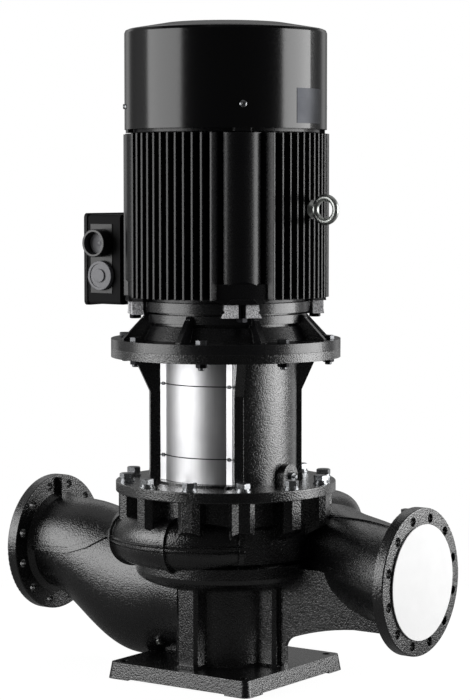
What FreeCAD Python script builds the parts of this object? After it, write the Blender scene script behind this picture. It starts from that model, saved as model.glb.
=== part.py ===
import FreeCAD, Part
import math
import os

# Vertical in-line circulation pump with a flanged motor.
# Millimetres. X runs along the pipe, towards the discharge flange, and Z is up.
# The origin is on the pump's axis, at the underside of the foot.

# Pipe flanges, DN200
face_to_face = 1100.0
port_height = 277.0
port_bore = 200.0
neck_wall = 15.0
flange_diameter = 340.0
flange_thickness = 28.0
raised_face_diameter = 268.0
raised_face_height = 3.0
pipe_bolt_circle = 295.0
pipe_bolt_count = 12
pipe_bolt_hole = 22.0
flange_edge = 2.5
flange_hub = 12.0
tapping_boss_width = 18.0
tapping_boss_height = 50.0
neck_straight = 25.0
cover_disc_diameter = 266.0
cover_disc_thickness = 2.0

# Foot plate
foot_side = 413.0
foot_height = 39.0
foot_draft = 6.0
foot_corner = 18.0
foot_pad_length = 65.0
foot_pad_relief = 3.5
foot_bolt_pitch = 350.0
foot_bolt_hole = 20.0

# Pedestal under the volute
pedestal_radius = 122.0
pedestal_wall = 17.0
pedestal_floor = 20.0
pedestal_leg_reach = 162.0
pedestal_leg_width = 58.0
pedestal_leg_corner = 8.0
pedestal_skirt = 7.0
web_thickness = 16.0
web_leg_reach = 176.0
web_arch_low = 100.0
web_arch_high = 148.0
web_arch_middle = 260.0
web_arch_crown = 370.0
web_blend = 12.0

# Suction body: where each section stands on the pipe's axis, the drop of its centre,
# and what it adds to the neck's half height and half width
suction_flare = (-430.0, 17.0, 18.0, 1.0)
suction_shoulder = (-340.0, 58.0, 46.0, 3.0)
suction_knee = (-250.0, 86.0, 52.0, 3.0)
suction_throat = (-150.0, 82.0, 40.0, 5.0)
suction_end = (-60.0, 87.0, 35.0, 3.0)

# Discharge body: place in plan, height over the pipe's axis, heading in degrees,
# and the section's half width and half height
discharge_mouth = (45.0, 236.0, 61.0, -10.0, 86.0, 54.0)
discharge_cone = (125.0, 210.0, 52.0, -29.0, 106.0, 88.0)
discharge_middle = (240.0, 145.0, 30.0, -31.0, 106.0, 98.0)
discharge_bend = (355.0, 73.0, 12.0, -28.0, 106.0, 112.0)
discharge_flare = (440.0, 26.0, 4.0, -17.0, 110.0, 114.0)

# Suction bowl
bowl_radius = 218.0
bowl_bottom = 222.0
bowl_wall = 18.0
bowl_rim = 262.0

# Volute
volute_height = 338.0
volute_half_height = 60.0
volute_corner = 52.0
volute_wall = 12.0
volute_base_radius = 190.0
volute_growth = 5.3
volute_power = 0.6
volute_swell = 0.3
volute_swell_start = 165.0
volute_last = 272
volute_close = 20.0
tongue_angle = -30.0
drum_radius = 212.0
strap_pitch = 45.0
strap_width = 11.0
strap_rise = 7.0
bead_height = 14.0
bead_rise = 4.0
bead_low = (400.0, 279.0)
bead_turn = (345.0, 297.0)
bead_join = 275.0
ledge_height = 16.0
ledge_rise = 8.0
ledge_start = (320.0, 285.0)
ledge_end = 267.0
crown_bead_width = 8.0
crown_bead_start = (230.0, 90.0)

# Top of the casing
casing_top = 448.5
casing_wall_radius = 205.0
chamber_radius = 168.0
cover_seat_radius = 175.0
cover_rim_thickness = 28.0
post_count = 12
post_width = 54.0
post_tip_width = 27.0
post_reach = 258.0
post_foot = 350.0

# Lantern between pump and motor
lantern_foot_radius = 264.5
lantern_foot_thickness = 25.0
lantern_bore = 110.0
lantern_wall_radius = 170.0
lantern_wall = 26.0
lantern_height = 343.5
lantern_top_thickness = 21.0
lantern_edge = 2.5
window_face = 120.0
window_sill = 5.0
rib_reach = 184.0
rib_thickness = 22.0
gusset_reach = 222.0
gusset_drop = 82.0
vent_boss_reach = 188.0
vent_boss_width = 60.0
vent_boss_height = 50.0
casing_bolt_circle = 480.0
flush_plug_radius = 182.0
flush_plug_angle = -52.6

# Guards over the windows
guard_radius = 150.0
guard_half_width = 87.0
guard_flange = 18.0
guard_sheet = 1.5
guard_end_gap = 2.0
guard_groove = 2.4
guard_groove_depth = 0.7
guard_screw_low = 65.0
guard_screw_high = 62.0

# Motor flange, FF500
motor_flange_diameter = 550.0
motor_flange_thickness = 23.0
motor_bolt_circle = 500.0
motor_bolt_count = 8
motor_bolt_hole = 18.5
spigot_diameter = 450.0
spigot_height = 4.0

# Drive endshield
shield_cone_bottom_radius = 207.0
shield_cone_top_radius = 190.0
shield_lower_ring_top = 84.0
shield_lower_ring_height = 20.0
shield_lower_ring_radius = 195.0
shield_groove_radius = 180.0
shield_groove_height = 7.0
shield_upper_ring_radius = 200.0
shield_height = 113.0
shield_wall = 16.0
shield_rib_count = 8
shield_rib_offset = 10.2
shield_rib_width = 12.0
shield_rib_reach = 258.0
shield_rib_top_reach = 202.0
ear_reach = 231.0
ear_width = 92.0
ear_height = 31.0
ear_slot = 18.5
ear_notch = 12.0

# Motor frame
frame_core_radius = 192.0
frame_bore_radius = 172.0
frame_height = 398.0
fin_tip_radius = 247.4
fin_pitch = 20.6
fin_thickness = 5.5
fins_each_side = 6
fin_start = 10.0
fin_end_gap = 2.0
column_half_width = 44.0
column_reach = 241.0
column_side_reach = 223.0
column_start = 32.0
base_block_half_width = 71.0
base_block_reach = 234.0
base_block_side_reach = 221.0
base_block_height = 47.0
lug_reach = 238.0
lug_width = 76.0
lug_top_width = 53.0
lug_height = 12.0

# Stator and rotor
stack_length = 230.0
stator_bore_radius = 112.0
winding_overhang = 52.0
air_gap = 0.6
shaft_radius = 32.5
shaft_body_radius = 40.0
fan_seat_radius = 22.0
fan_seat_length = 124.0
bearing_outer_radius = 70.0
bearing_width = 33.0
bearing_ring = 10.0
running_gap = 0.3
motor_shaft_drop = 140.0

# Fan cowl
cowl_radius = 241.0
cowl_sheet = 2.5
cowl_height = 250.0
cowl_gap = 8.0
cowl_rim_radius = 9.0
cowl_dome = 14.0
grille_rings = 4
grille_first_radius = 50.0
grille_ring_pitch = 27.0
grille_slot = 8.0
grille_bar = 9.0
cowl_screw_drop = 54.0
cowl_post_width = 40.0
cowl_crown_radius = 150.0
cowl_washer_radius = 8.5
fan_radius = 190.0
fan_blades = 7
fan_hub_length = 70.0
fan_vane = 4.0
fan_stand_off = 34.0

# Terminal box
box_height = 218.0
box_width = 216.0
box_centre = 1000.0
box_depth = 98.5
box_wall = 6.0
box_back = 236.0
box_corner = 10.0
lid_thickness = 9.0
lid_margin = 3.0
gasket_thickness = 1.5
gland_setback = 29.0
gland_high = 40.0
gland_low = -39.0
gland_outer_radius = 34.0
gland_bore_radius = 27.5
gland_length = 36.0
plug_radius = 36.0
plug_height = 12.0
entry_plate_rise = 2.0

# Eyebolt
eyebolt_height = 1123.0
eyebolt_ring_radius = 28.0
eyebolt_bar_radius = 8.0
eyebolt_reach = 284.0
eyebolt_shank_radius = 10.0
eyebolt_boss_radius = 22.0

# Wet end
eye_radius = 92.0
wear_ring_radius = 104.0
wear_ring_length = 22.0
impeller_radius = 160.0
impeller_outlet = 30.0
impeller_shroud = 5.0
impeller_blades = 6
impeller_hub_radius = 38.0
pump_shaft_radius = 25.0
coupling_radius = 58.0
coupling_bottom = 545.0
coupling_top = 735.0
coupling_split = 3.0
seal_radius = 40.0

# Smaller forms
neck_lap = 4.0
blade_thickness = 6.0
impeller_hub_top = 376.0
pump_shaft_top = 640.0
shaft_end_gap = 12.0
coupling_screw_radius = 5.0
shield_ring_height = 24.0
ear_bolt_radius_place = 218.0
ear_bolt_depth = 30.0
pad_half_width = 72.0
box_gap = 3.0
pad_half_height = 75.0
rear_shield_radius = 224.0
rear_shield_thickness = 14.0
plate_thickness = 0.8
plate_height = 81.0
plate_width = 97.0
gland_thread_radius = 30.0
drain_x = -143.0
drain_y = -77.0
drain_z = 77.0
drain_slope = 42.5
drain_boss_rise = 5.0
drain_plug_radius = 6.5

# Fasteners: shank diameter, head across flats, head height
casing_bolt = (20.0, 30.0, 12.5)
motor_bolt = (16.0, 24.0, 10.0)
ear_bolt = (16.0, 24.0, 10.0)
small_screw = (5.0, 9.0, 3.0)
washer_ratio = 1.85
washer_thickness = 3.0
spring_washer_radius = 16.0
spring_washer_height = 5.0
casing_bolt_hold = 38.0
hole_clearance = 1.0
fit_gap = 0.1

# Heights that follow from the sizes above
lantern_foot_top = casing_top + lantern_foot_thickness
motor_face = casing_top + lantern_height
lantern_flange_bottom = motor_face - lantern_top_thickness
motor_flange_top = motor_face + motor_flange_thickness
frame_bottom = motor_face + shield_height
frame_top = frame_bottom + frame_height
cowl_bottom = frame_top + cowl_gap
cowl_top = cowl_bottom + cowl_height
stack_bottom = frame_bottom + (frame_height - stack_length) / 2
stack_top = stack_bottom + stack_length
drive_bearing_bottom = motor_face + 60.0
fan_bearing_bottom = frame_top - 30.0
fan_bottom = fan_bearing_bottom + bearing_width + fan_stand_off
volute_bottom = volute_height - volute_half_height
volute_top = volute_height + volute_half_height
cover_step = casing_top - cover_rim_thickness
flange_back = face_to_face / 2 - raised_face_height - flange_thickness
neck_start = flange_back - neck_straight


def point(x, y, z):
    return FreeCAD.Vector(x, y, z)


up = point(0, 0, 1)
centre = point(0, 0, 0)


def tube(outer, inner, bottom, top):
    shape = Part.makeCylinder(outer, top - bottom, point(0, 0, bottom))
    if inner > 0:
        shape = shape.cut(Part.makeCylinder(inner, top - bottom, point(0, 0, bottom)))
    return shape


def turned(outline):
    """Revolve a closed outline of (radius, height) corners about the pump's axis."""
    wire = Part.makePolygon([point(r, 0, z) for r, z in outline + outline[:1]])
    return Part.Face(wire).revolve(centre, up, 360)


def plate(outline, bottom, top):
    """Raise a closed outline of (x, y) corners from one height to another."""
    wire = Part.makePolygon([point(x, y, bottom) for x, y in outline + outline[:1]])
    return Part.Face(wire).extrude(point(0, 0, top - bottom))


def upright_plate(outline, thickness):
    """A plate in the XZ plane, centred on y = 0, from (x, z) corners."""
    wire = Part.makePolygon([point(x, -thickness / 2, z) for x, z in outline + outline[:1]])
    return Part.Face(wire).extrude(point(0, thickness, 0))


def block(x0, x1, y0, y1, z0, z1):
    return Part.makeBox(x1 - x0, y1 - y0, z1 - z0, point(x0, y0, z0))


def swung(shape, angle):
    copy = shape.copy()
    copy.rotate(centre, up, angle)
    return copy


def around(shape, count, first):
    return [swung(shape, first + 360.0 * step / count) for step in range(count)]


def fused(shapes):
    return shapes[0].multiFuse(shapes[1:]).removeSplitter()


def hexagon(across_flats, bottom, top):
    reach = across_flats / math.sqrt(3)
    corners = [(reach * math.cos(math.radians(60 * k)), reach * math.sin(math.radians(60 * k)))
               for k in range(6)]
    return plate(corners, bottom, top)


def hex_head(across_flats, height):
    """A hexagon with its outer corners turned off, as on a bolt or a nut."""
    reach = across_flats / math.sqrt(3)
    land = across_flats * 0.475
    drop = (reach - land) * math.tan(math.radians(30))
    turning = turned([(0, 0), (reach, 0), (reach, height - drop), (land, height), (0, height)])
    return hexagon(across_flats, 0, height).common(turning)


def bolt(size, length):
    """A hexagon bolt whose head sits on z = 0 and whose shank hangs below it."""
    diameter, across_flats, head = size
    radius = diameter / 2
    point_chamfer = diameter * 0.1
    shank = turned([(0, -length), (radius - point_chamfer, -length), (radius, point_chamfer - length),
                    (radius, 0), (0, 0)])
    return hex_head(across_flats, head).fuse(shank)


def nut(size):
    diameter, across_flats, head = size
    hole = Part.makeCylinder(diameter / 2 + fit_gap, head, centre)
    body = hex_head(across_flats, head).cut(hole)
    body.rotate(point(0, 0, head / 2), point(1, 0, 0), 180)
    return body


def softened(shape, radius):
    """The shape with all its round outer edges filleted."""
    rims = [edge for edge in shape.Edges if edge.Curve.TypeId == "Part::GeomCircle"]
    return shape.makeFillet(radius, rims)


def moved(shape, x, y, z):
    copy = shape.copy()
    copy.translate(point(x, y, z))
    return copy


def save(name, shape):
    if isinstance(shape, list):
        shape = Part.makeCompound(shape)
    shape.exportStep("parts/" + name + ".step")
    solids = shape.Solids
    print(name, len(solids), "solid(s)", all(s.isValid() for s in solids), round(shape.Volume / 1000), "cm3")


def oval(x, y, z, heading, half_width, half_height):
    """An upright oval across a flow that heads at an angle from the X axis."""
    wire = Part.Wire(Part.Circle(centre, point(1, 0, 0), 1.0).toShape())
    frame = FreeCAD.Matrix()
    frame.scale(1.0, half_width, half_height)
    frame.rotateZ(math.radians(heading))
    frame.move(point(x, y, z))
    return wire.transformGeometry(frame)


def suction_passage(grow):
    """The bent suction body: grow is zero outside, and minus the wall inside."""
    round_neck = port_bore / 2 + neck_wall
    stations = [(-neck_start, 0, 0, 0), suction_flare, suction_shoulder, suction_knee,
                suction_throat, suction_end]
    wires = [oval(x, 0, port_height - drop, 0, round_neck + wide + grow, round_neck + tall + grow)
             for x, drop, tall, wide in stations]
    return Part.makeLoft(wires, True, False)


def discharge_passage(grow):
    """The diffuser: it leaves the end of the volute and turns into the pipe's axis."""
    round_neck = port_bore / 2 + neck_wall
    stations = [discharge_mouth, discharge_cone, discharge_middle, discharge_bend, discharge_flare,
                (neck_start, 0, 0, 0, round_neck, round_neck)]
    wires = [oval(x, y, port_height + z, heading, wide + grow, tall + grow)
             for x, y, z, heading, wide, tall in stations]
    return Part.makeLoft(wires, True, False)


def neck(side, radius, end):
    """The straight end of a pipe body, from the curved passage out to the flange."""
    start = point(side * neck_start, 0, port_height)
    return Part.makeCylinder(radius, end - neck_start, start, point(side, 0, 0))


def volute_radius(swept):
    return volute_base_radius + volute_growth * swept ** volute_power


def volute_section(angle, inner, outer, half_height, corner):
    """A rounded box section, standing in the plane through the axis at an angle."""
    low = volute_height - half_height
    high = volute_height + half_height
    middle = corner * math.sin(math.radians(45))
    spot = [point(inner, 0, low), point(outer - corner, 0, low),
            point(outer - corner + middle, 0, low + corner - middle), point(outer, 0, low + corner),
            point(outer, 0, high - corner), point(outer - corner + middle, 0, high - corner + middle),
            point(outer - corner, 0, high), point(inner, 0, high)]
    edges = [Part.LineSegment(spot[0], spot[1]).toShape(),
             Part.Arc(spot[1], spot[2], spot[3]).toShape(),
             Part.LineSegment(spot[3], spot[4]).toShape(),
             Part.Arc(spot[4], spot[5], spot[6]).toShape(),
             Part.LineSegment(spot[6], spot[7]).toShape(),
             Part.LineSegment(spot[7], spot[0]).toShape()]
    wire = Part.Wire(edges)
    wire.rotate(centre, up, angle)
    return wire


def volute_half(swept):
    """Half the volute's height: it swells over the last part of the turn."""
    return volute_half_height + volute_swell * max(0.0, swept - volute_swell_start)


def volute_spiral(inner, grow):
    corner = volute_corner + grow
    wires = []
    for swept in range(12, volute_last + 1, 26):
        wires.append(volute_section(tongue_angle - swept, inner, volute_radius(swept) + grow,
                                    volute_half(swept) + grow, corner))
    wires.append(volute_section(tongue_angle - volute_last - volute_close, inner,
                                volute_radius(volute_last) - volute_close + grow,
                                volute_half_height + grow, corner))
    return Part.makeLoft(wires, True, False)


def foot_plate():
    top_side = foot_side - 2 * foot_draft
    low = rounded_square(foot_side, foot_corner, 0)
    high = rounded_square(top_side, foot_corner - 2, foot_height)
    body = Part.makeLoft([low, high], True, True)
    gap = foot_side / 2 - foot_pad_length
    relief = block(-gap, gap, -foot_side, foot_side, 0, foot_pad_relief)
    relief = relief.fuse(block(-foot_side, foot_side, -gap, gap, 0, foot_pad_relief))
    return body.cut(relief)


def rounded_square(side, corner, height):
    half = side / 2
    edges = []
    for quarter in range(4):
        bend = corner * (1 - math.sqrt(0.5))
        start = point(half, -half + corner, height)
        end = point(half, half - corner, height)
        middle = point(half - bend, half - bend, height)
        after = point(half - corner, half, height)
        pair = [Part.LineSegment(start, end).toShape(), Part.Arc(end, middle, after).toShape()]
        for edge in pair:
            edge.rotate(centre, up, 90 * quarter)
            edges.append(edge)
    return Part.Wire(edges)


def leg_outline(grow):
    """One leg of the pedestal seen from above, with its outer corners cut off."""
    half = pedestal_leg_width / 2 + grow
    corner = pedestal_leg_corner
    reach = pedestal_leg_reach + grow
    return [(0, -half), (reach - corner, -half), (reach, -half + corner),
            (reach, half - corner), (reach - corner, half), (0, half)]


def pedestal():
    outline = leg_outline(0)
    leg = plate(outline, foot_height - 1, bowl_rim)
    core = tube(pedestal_radius, 0, foot_height - 1, bowl_rim)
    skirt = pedestal_skirt
    wires = [Part.makePolygon([point(x, y, height) for x, y in line + line[:1]])
             for line, height in ((leg_outline(skirt), foot_height - 0.5), (outline, foot_height + skirt))]
    leg_skirt = Part.makeLoft(wires, True, True)
    core_skirt = turned([(0, foot_height - 0.5), (pedestal_radius + skirt, foot_height - 0.5),
                         (pedestal_radius, foot_height + skirt), (0, foot_height + skirt)])
    return [core, core_skirt] + around(leg, 4, 0) + around(leg_skirt, 4, 0)


def bowl():
    """The round underside of the suction chamber, a quarter oval in section."""
    steps = 6
    width = bowl_radius - pedestal_radius
    outline = [(0, bowl_bottom), (0, volute_bottom + 10), (bowl_radius, volute_bottom + 10)]
    for step in range(steps + 1):
        angle = math.radians(90 * step / steps)
        outline.append((pedestal_radius + width * math.cos(angle),
                        bowl_rim - (bowl_rim - bowl_bottom) * math.sin(angle)))
    return turned(outline)


def discharge_web():
    """The upright web between the pedestal and the underside of the diffuser."""
    reach = flange_back + 1
    low = web_arch_low
    high = web_arch_high
    blend = web_blend
    spot = [point(x, 0, z) for x, z in
            [(0, foot_height), (web_leg_reach, foot_height), (web_leg_reach, low - blend),
             (web_leg_reach + blend / 2, low), (web_leg_reach + 2 * blend, low + blend),
             (web_arch_middle, (low + high) / 2 + blend / 2), (web_arch_crown, high), (reach, high),
             (reach, port_height), (0, port_height)]]
    edges = [Part.LineSegment(spot[0], spot[1]).toShape(), Part.LineSegment(spot[1], spot[2]).toShape(),
             Part.Arc(spot[2], spot[3], spot[4]).toShape(), Part.Arc(spot[4], spot[5], spot[6]).toShape()]
    edges += [Part.LineSegment(start, end).toShape() for start, end in zip(spot[6:], spot[7:] + spot[:1])]
    web = Part.Face(Part.Wire(edges)).extrude(point(0, web_thickness, 0))
    return moved(web, 0, -web_thickness / 2, 0)


def parting_beads():
    """The casting line on the suction body, and the ledge and crown line on the discharge body."""
    half = bead_height / 2
    middle = [(-flange_back, port_height), (-bead_low[0], bead_low[1]), (-bead_turn[0], bead_turn[1]),
              (-bead_join, volute_height), (-pedestal_radius, volute_height)]
    left = [(x, z + half) for x, z in middle]
    left += [(x, z - half) for x, z in reversed(middle)]
    left_rise = port_bore / 2 + neck_wall + bead_rise
    left_body = suction_passage(bead_rise).fuse(neck(-1, left_rise, flange_back))
    left_bead = upright_plate(left, foot_side).common(left_body)
    right_rise = port_bore / 2 + neck_wall + ledge_rise
    right_body = discharge_passage(ledge_rise).fuse(neck(1, right_rise, flange_back))
    step = ledge_height / 2
    start_x, start_z = ledge_start
    slope = [(pedestal_radius / 2, start_z + step), (start_x, start_z + step), (flange_back, ledge_end + step),
             (flange_back, ledge_end - step), (start_x, start_z - step), (pedestal_radius / 2, start_z - step)]
    ledge = upright_plate(slope, face_to_face).common(right_body)
    return [left_bead, ledge, crown_bead()]


def crown_bead():
    """The thin line on top of the discharge body, from the casing's wall to the flange."""
    x, y = crown_bead_start
    run = neck_start - x
    slab = block(0, math.hypot(run, y), -crown_bead_width / 2, crown_bead_width / 2,
                 volute_height, casing_top)
    slab.rotate(centre, up, -math.degrees(math.atan2(y, run)))
    return moved(slab, x, y, 0).common(discharge_passage(bead_rise))


def volute_bead():
    curve = []
    for swept in range(12, 280, 16):
        reach = volute_radius(swept) + bead_rise
        angle = math.radians(tongue_angle - swept)
        curve.append(point(reach * math.cos(angle), reach * math.sin(angle), 0))
    spline = Part.BSplineCurve()
    spline.interpolate(curve)
    edges = [spline.toShape(), Part.LineSegment(curve[-1], centre).toShape(),
             Part.LineSegment(centre, curve[0]).toShape()]
    face = Part.Face(Part.Wire(edges))
    face.translate(point(0, 0, volute_height - bead_height / 2))
    return face.extrude(point(0, 0, bead_height))


def straps():
    """The ribs that cross the volute, one at each eighth of a turn."""
    shapes = []
    for step in range(1, 7):
        angle = -strap_pitch * step
        reach = volute_radius(tongue_angle - angle) + strap_rise
        wire = volute_section(0, chamber_radius, reach, volute_half(tongue_angle - angle) + strap_rise,
                              volute_corner + strap_rise)
        wire.translate(point(0, -strap_width / 2, 0))
        strap = Part.Face(wire).extrude(point(0, strap_width, 0))
        shapes.append(swung(strap, angle))
    return shapes


def casing_posts():
    """The posts that carry the casing bolts down into the volute."""
    half = post_width / 2
    tip = post_tip_width / 2
    inner = casing_wall_radius - 10
    outline = [(inner, -half), (post_reach - (half - tip), -half), (post_reach, -tip),
               (post_reach, tip), (post_reach - (half - tip), half), (inner, half)]
    post = plate(outline, post_foot, casing_top)
    slope = [(casing_wall_radius, post_foot - 1), (post_reach + 1, post_foot - 1),
             (post_reach + 1, post_foot + 30)]
    post = post.cut(upright_plate(slope, 2 * post_width))
    return around(post, post_count, 180.0 / post_count)


def pipe_flange(side):
    """A pipe flange with its raised face, seen along +X or -X."""
    axis = point(side, 0, 0)
    back = point(side * flange_back, 0, port_height)
    ring = softened(Part.makeCylinder(flange_diameter / 2, flange_thickness, back, axis), flange_edge)
    face = Part.makeCylinder(raised_face_diameter / 2, flange_thickness + raised_face_height, back, axis)
    root = port_bore / 2 + neck_wall
    hub = Part.makeCone(root, root + flange_hub, flange_hub,
                        point(side * (flange_back - flange_hub), 0, port_height), axis)
    near = min(side * (flange_back - 22), side * (flange_back + 2))
    foot = port_height + port_bore / 2
    tapping = block(near, near + tapping_boss_width, -tapping_boss_width / 2, tapping_boss_width / 2,
                    foot, foot + neck_wall + tapping_boss_height)
    return ring.multiFuse([face, tapping, hub])


def pipe_bolt_holes(side):
    holes = []
    for step in range(pipe_bolt_count):
        angle = math.radians(360.0 * (step + 0.5) / pipe_bolt_count)
        y = pipe_bolt_circle / 2 * math.cos(angle)
        z = port_height + pipe_bolt_circle / 2 * math.sin(angle)
        start = point(side * (flange_back - 1), y, z)
        holes.append(Part.makeCylinder(pipe_bolt_hole / 2, flange_thickness + 2, start, point(side, 0, 0)))
    return holes


def casing_hollow():
    """The water's way: suction body, bowl, eye, impeller chamber, volute and diffuser."""
    floor = foot_height + pedestal_floor
    inner = pedestal_radius - pedestal_wall
    chamber = turned([(0, floor), (inner, floor), (inner, bowl_bottom + 10), (inner + 45, bowl_bottom + 16),
                      (bowl_radius - bowl_wall, bowl_rim - 14), (bowl_radius - bowl_wall, bowl_rim - 4),
                      (0, bowl_rim - 4)])
    eye = tube(eye_radius, 0, bowl_rim - 10, volute_bottom + 20)
    ring_seat = tube(wear_ring_radius, 0, volute_bottom + volute_wall - wear_ring_length, volute_bottom + 20)
    impeller_room = tube(chamber_radius, 0, volute_bottom + volute_wall, casing_top + 1)
    cover_seat = tube(cover_seat_radius, 0, cover_step, casing_top + 1)
    bores = [neck(side, port_bore / 2, face_to_face / 2 + 1) for side in (-1, 1)]
    divider = volute_spiral(chamber_radius - 18, 0).fuse(tube(drum_radius, 0, volute_bottom, casing_top))
    inlet = suction_passage(-neck_wall).cut(divider)
    rooms = [chamber, eye, ring_seat, impeller_room, cover_seat, inlet,
             discharge_passage(-neck_wall), volute_spiral(chamber_radius - 10, -volute_wall)]
    return rooms + bores


def foot_holes():
    half = foot_bolt_pitch / 2
    return [Part.makeCylinder(foot_bolt_hole / 2, foot_height + 2, point(x, y, -1))
            for x in (-half, half) for y in (-half, half)]


def casing_bolt_taps():
    depth = 45.0
    start = point(casing_bolt_circle / 2, 0, casing_top - depth)
    hole = Part.makeCylinder(casing_bolt[0] / 2 + fit_gap, depth + 1, start)
    return around(hole, post_count, 180.0 / post_count)


def pump_casing():
    outside = [foot_plate(), bowl(), suction_passage(0), discharge_passage(0),
               volute_spiral(chamber_radius - 18, 0), volute_bead(),
               tube(casing_wall_radius, 0, volute_top - 12, casing_top), discharge_web(),
               pipe_flange(-1), pipe_flange(1)]
    outside += [neck(side, port_bore / 2 + neck_wall, flange_back + 1) for side in (-1, 1)]
    drum = turned([(0, volute_bottom), (drum_radius - 20, volute_bottom), (drum_radius, volute_bottom + 20),
                   (drum_radius, volute_top - 20), (drum_radius - 20, volute_top), (0, volute_top)])
    outside += [drum] + pedestal() + straps() + casing_posts() + parting_beads()
    outside.append(drain_boss(13, -12, 12 + drain_boss_rise))
    body = outside[0].multiFuse(outside[1:])
    tools = casing_hollow() + foot_holes() + [drain_boss(drain_plug_radius * 0.62 + fit_gap, -12, 30)]
    tools += pipe_bolt_holes(-1) + pipe_bolt_holes(1) + casing_bolt_taps()
    return body.cut(tools)


def casing_wear_ring():
    top = volute_bottom + volute_wall
    return tube(wear_ring_radius, eye_radius + neck_lap + running_gap, top - wear_ring_length, top)


def impeller_blade():
    """One backward-curved vane, a bent strip between the two shrouds."""
    start = eye_radius + 6
    bend = impeller_radius * 0.62
    outer = Part.makeCylinder(bend + blade_thickness / 2, 80, point(0, bend, 0))
    inner = Part.makeCylinder(bend - blade_thickness / 2, 80, point(0, bend, 0))
    strip = outer.cut(inner)
    ring = tube(impeller_radius, start, 0, 80)
    half = block(0, 2 * impeller_radius, -impeller_radius, 2 * impeller_radius, 0, 80)
    return strip.common(ring).common(half)


def impeller():
    low = volute_height - impeller_outlet / 2
    high = volute_height + impeller_outlet / 2
    wall = impeller_shroud
    neck = eye_radius + neck_lap
    neck_bottom = volute_bottom + volute_wall - wear_ring_length
    shoulder = volute_bottom + volute_wall + 3
    front = turned([(neck - wall, neck_bottom), (neck, neck_bottom), (neck, shoulder),
                    (neck + 24, low - wall - 8), (impeller_radius, low - wall), (impeller_radius, low),
                    (neck + 20, low - 6), (neck - wall, shoulder + 3)])
    back = turned([(pump_shaft_radius, high - 30), (impeller_hub_radius, high - 30),
                   (impeller_hub_radius + 8, high - 6), (impeller_radius, high),
                   (impeller_radius, high + wall), (impeller_hub_radius, high + wall),
                   (impeller_hub_radius, impeller_hub_top), (pump_shaft_radius, impeller_hub_top)])
    channel = turned([(neck - wall + 1, low - 22), (neck + 21, low - 8), (impeller_radius, low - 2),
                      (impeller_radius, high + 2), (neck - wall + 1, high + 2)])
    blade = moved(impeller_blade(), 0, 0, low - 25).common(channel)
    return fused([front, back] + around(blade, impeller_blades, 0))


def pump_shaft():
    low = volute_height - impeller_outlet / 2
    thread = pump_shaft_radius - 8
    return turned([(0, low - 26), (thread, low - 26), (thread, low), (pump_shaft_radius, low),
                   (pump_shaft_radius, pump_shaft_top), (0, pump_shaft_top)])


def impeller_nut():
    low = volute_height - impeller_outlet / 2
    body = hexagon(46.0, low - 22, low)
    return body.cut(tube(pump_shaft_radius - 8, 0, low - 23, low + 1))


def seal_cover():
    """The lid of the casing: it carries the shaft seal and is clamped by the lantern."""
    chamber = seal_radius + 5
    land = pump_shaft_radius + 2
    bottom = volute_top - 3
    seat = cover_step + gasket_thickness
    plug = chamber_radius - 0.5
    rim = cover_seat_radius - fit_gap
    outline = [(chamber, bottom), (chamber + 18, bottom), (chamber + 18, bottom + 28),
               (plug - 18, bottom + 28), (plug - 18, bottom + 2), (plug, bottom + 2), (plug, seat),
               (rim, seat), (rim, casing_top), (lantern_bore - 0.5, casing_top),
               (lantern_bore - 10, casing_top + 20), (chamber + 14, casing_top + 28),
               (land, casing_top + 28), (land, casing_top + 4), (chamber, casing_top + 4)]
    return turned(outline)


def cover_gasket():
    return tube(cover_seat_radius - fit_gap, chamber_radius, cover_step, cover_step + gasket_thickness)


def seal_seat():
    return tube(seal_radius + 5, pump_shaft_radius + 2, casing_top - 10, casing_top + 4)


def seal_ring():
    top = casing_top - 10 - fit_gap
    return tube(seal_radius, pump_shaft_radius, top - 18, top)


def seal_bellows():
    """The rubber bellows that press the turning seal ring upwards."""
    top = casing_top - 28 - fit_gap
    bottom = impeller_hub_top
    folds = 4
    pitch = (top - bottom) / folds
    outline = [(pump_shaft_radius, bottom)]
    for fold in range(folds):
        base = bottom + fold * pitch
        outline += [(seal_radius - 6, base), (seal_radius - 1, base + pitch / 2)]
    outline += [(seal_radius - 6, top), (pump_shaft_radius, top)]
    return turned(outline)


def lantern_windows():
    low = lantern_foot_top + window_sill
    return [block(-200, 200, side * window_face - 200 * (side < 0), side * window_face + 200 * (side > 0),
                  low, lantern_flange_bottom) for side in (-1, 1)]


def vent_boss():
    half = vent_boss_width / 2
    spring = lantern_foot_top + vent_boss_height - half
    body = block(lantern_wall_radius - 10, vent_boss_reach, -half, half, lantern_foot_top, spring)
    arch = Part.makeCylinder(half, vent_boss_reach - lantern_wall_radius + 10,
                             point(lantern_wall_radius - 10, 0, spring), point(1, 0, 0))
    return body.fuse(arch)


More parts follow.
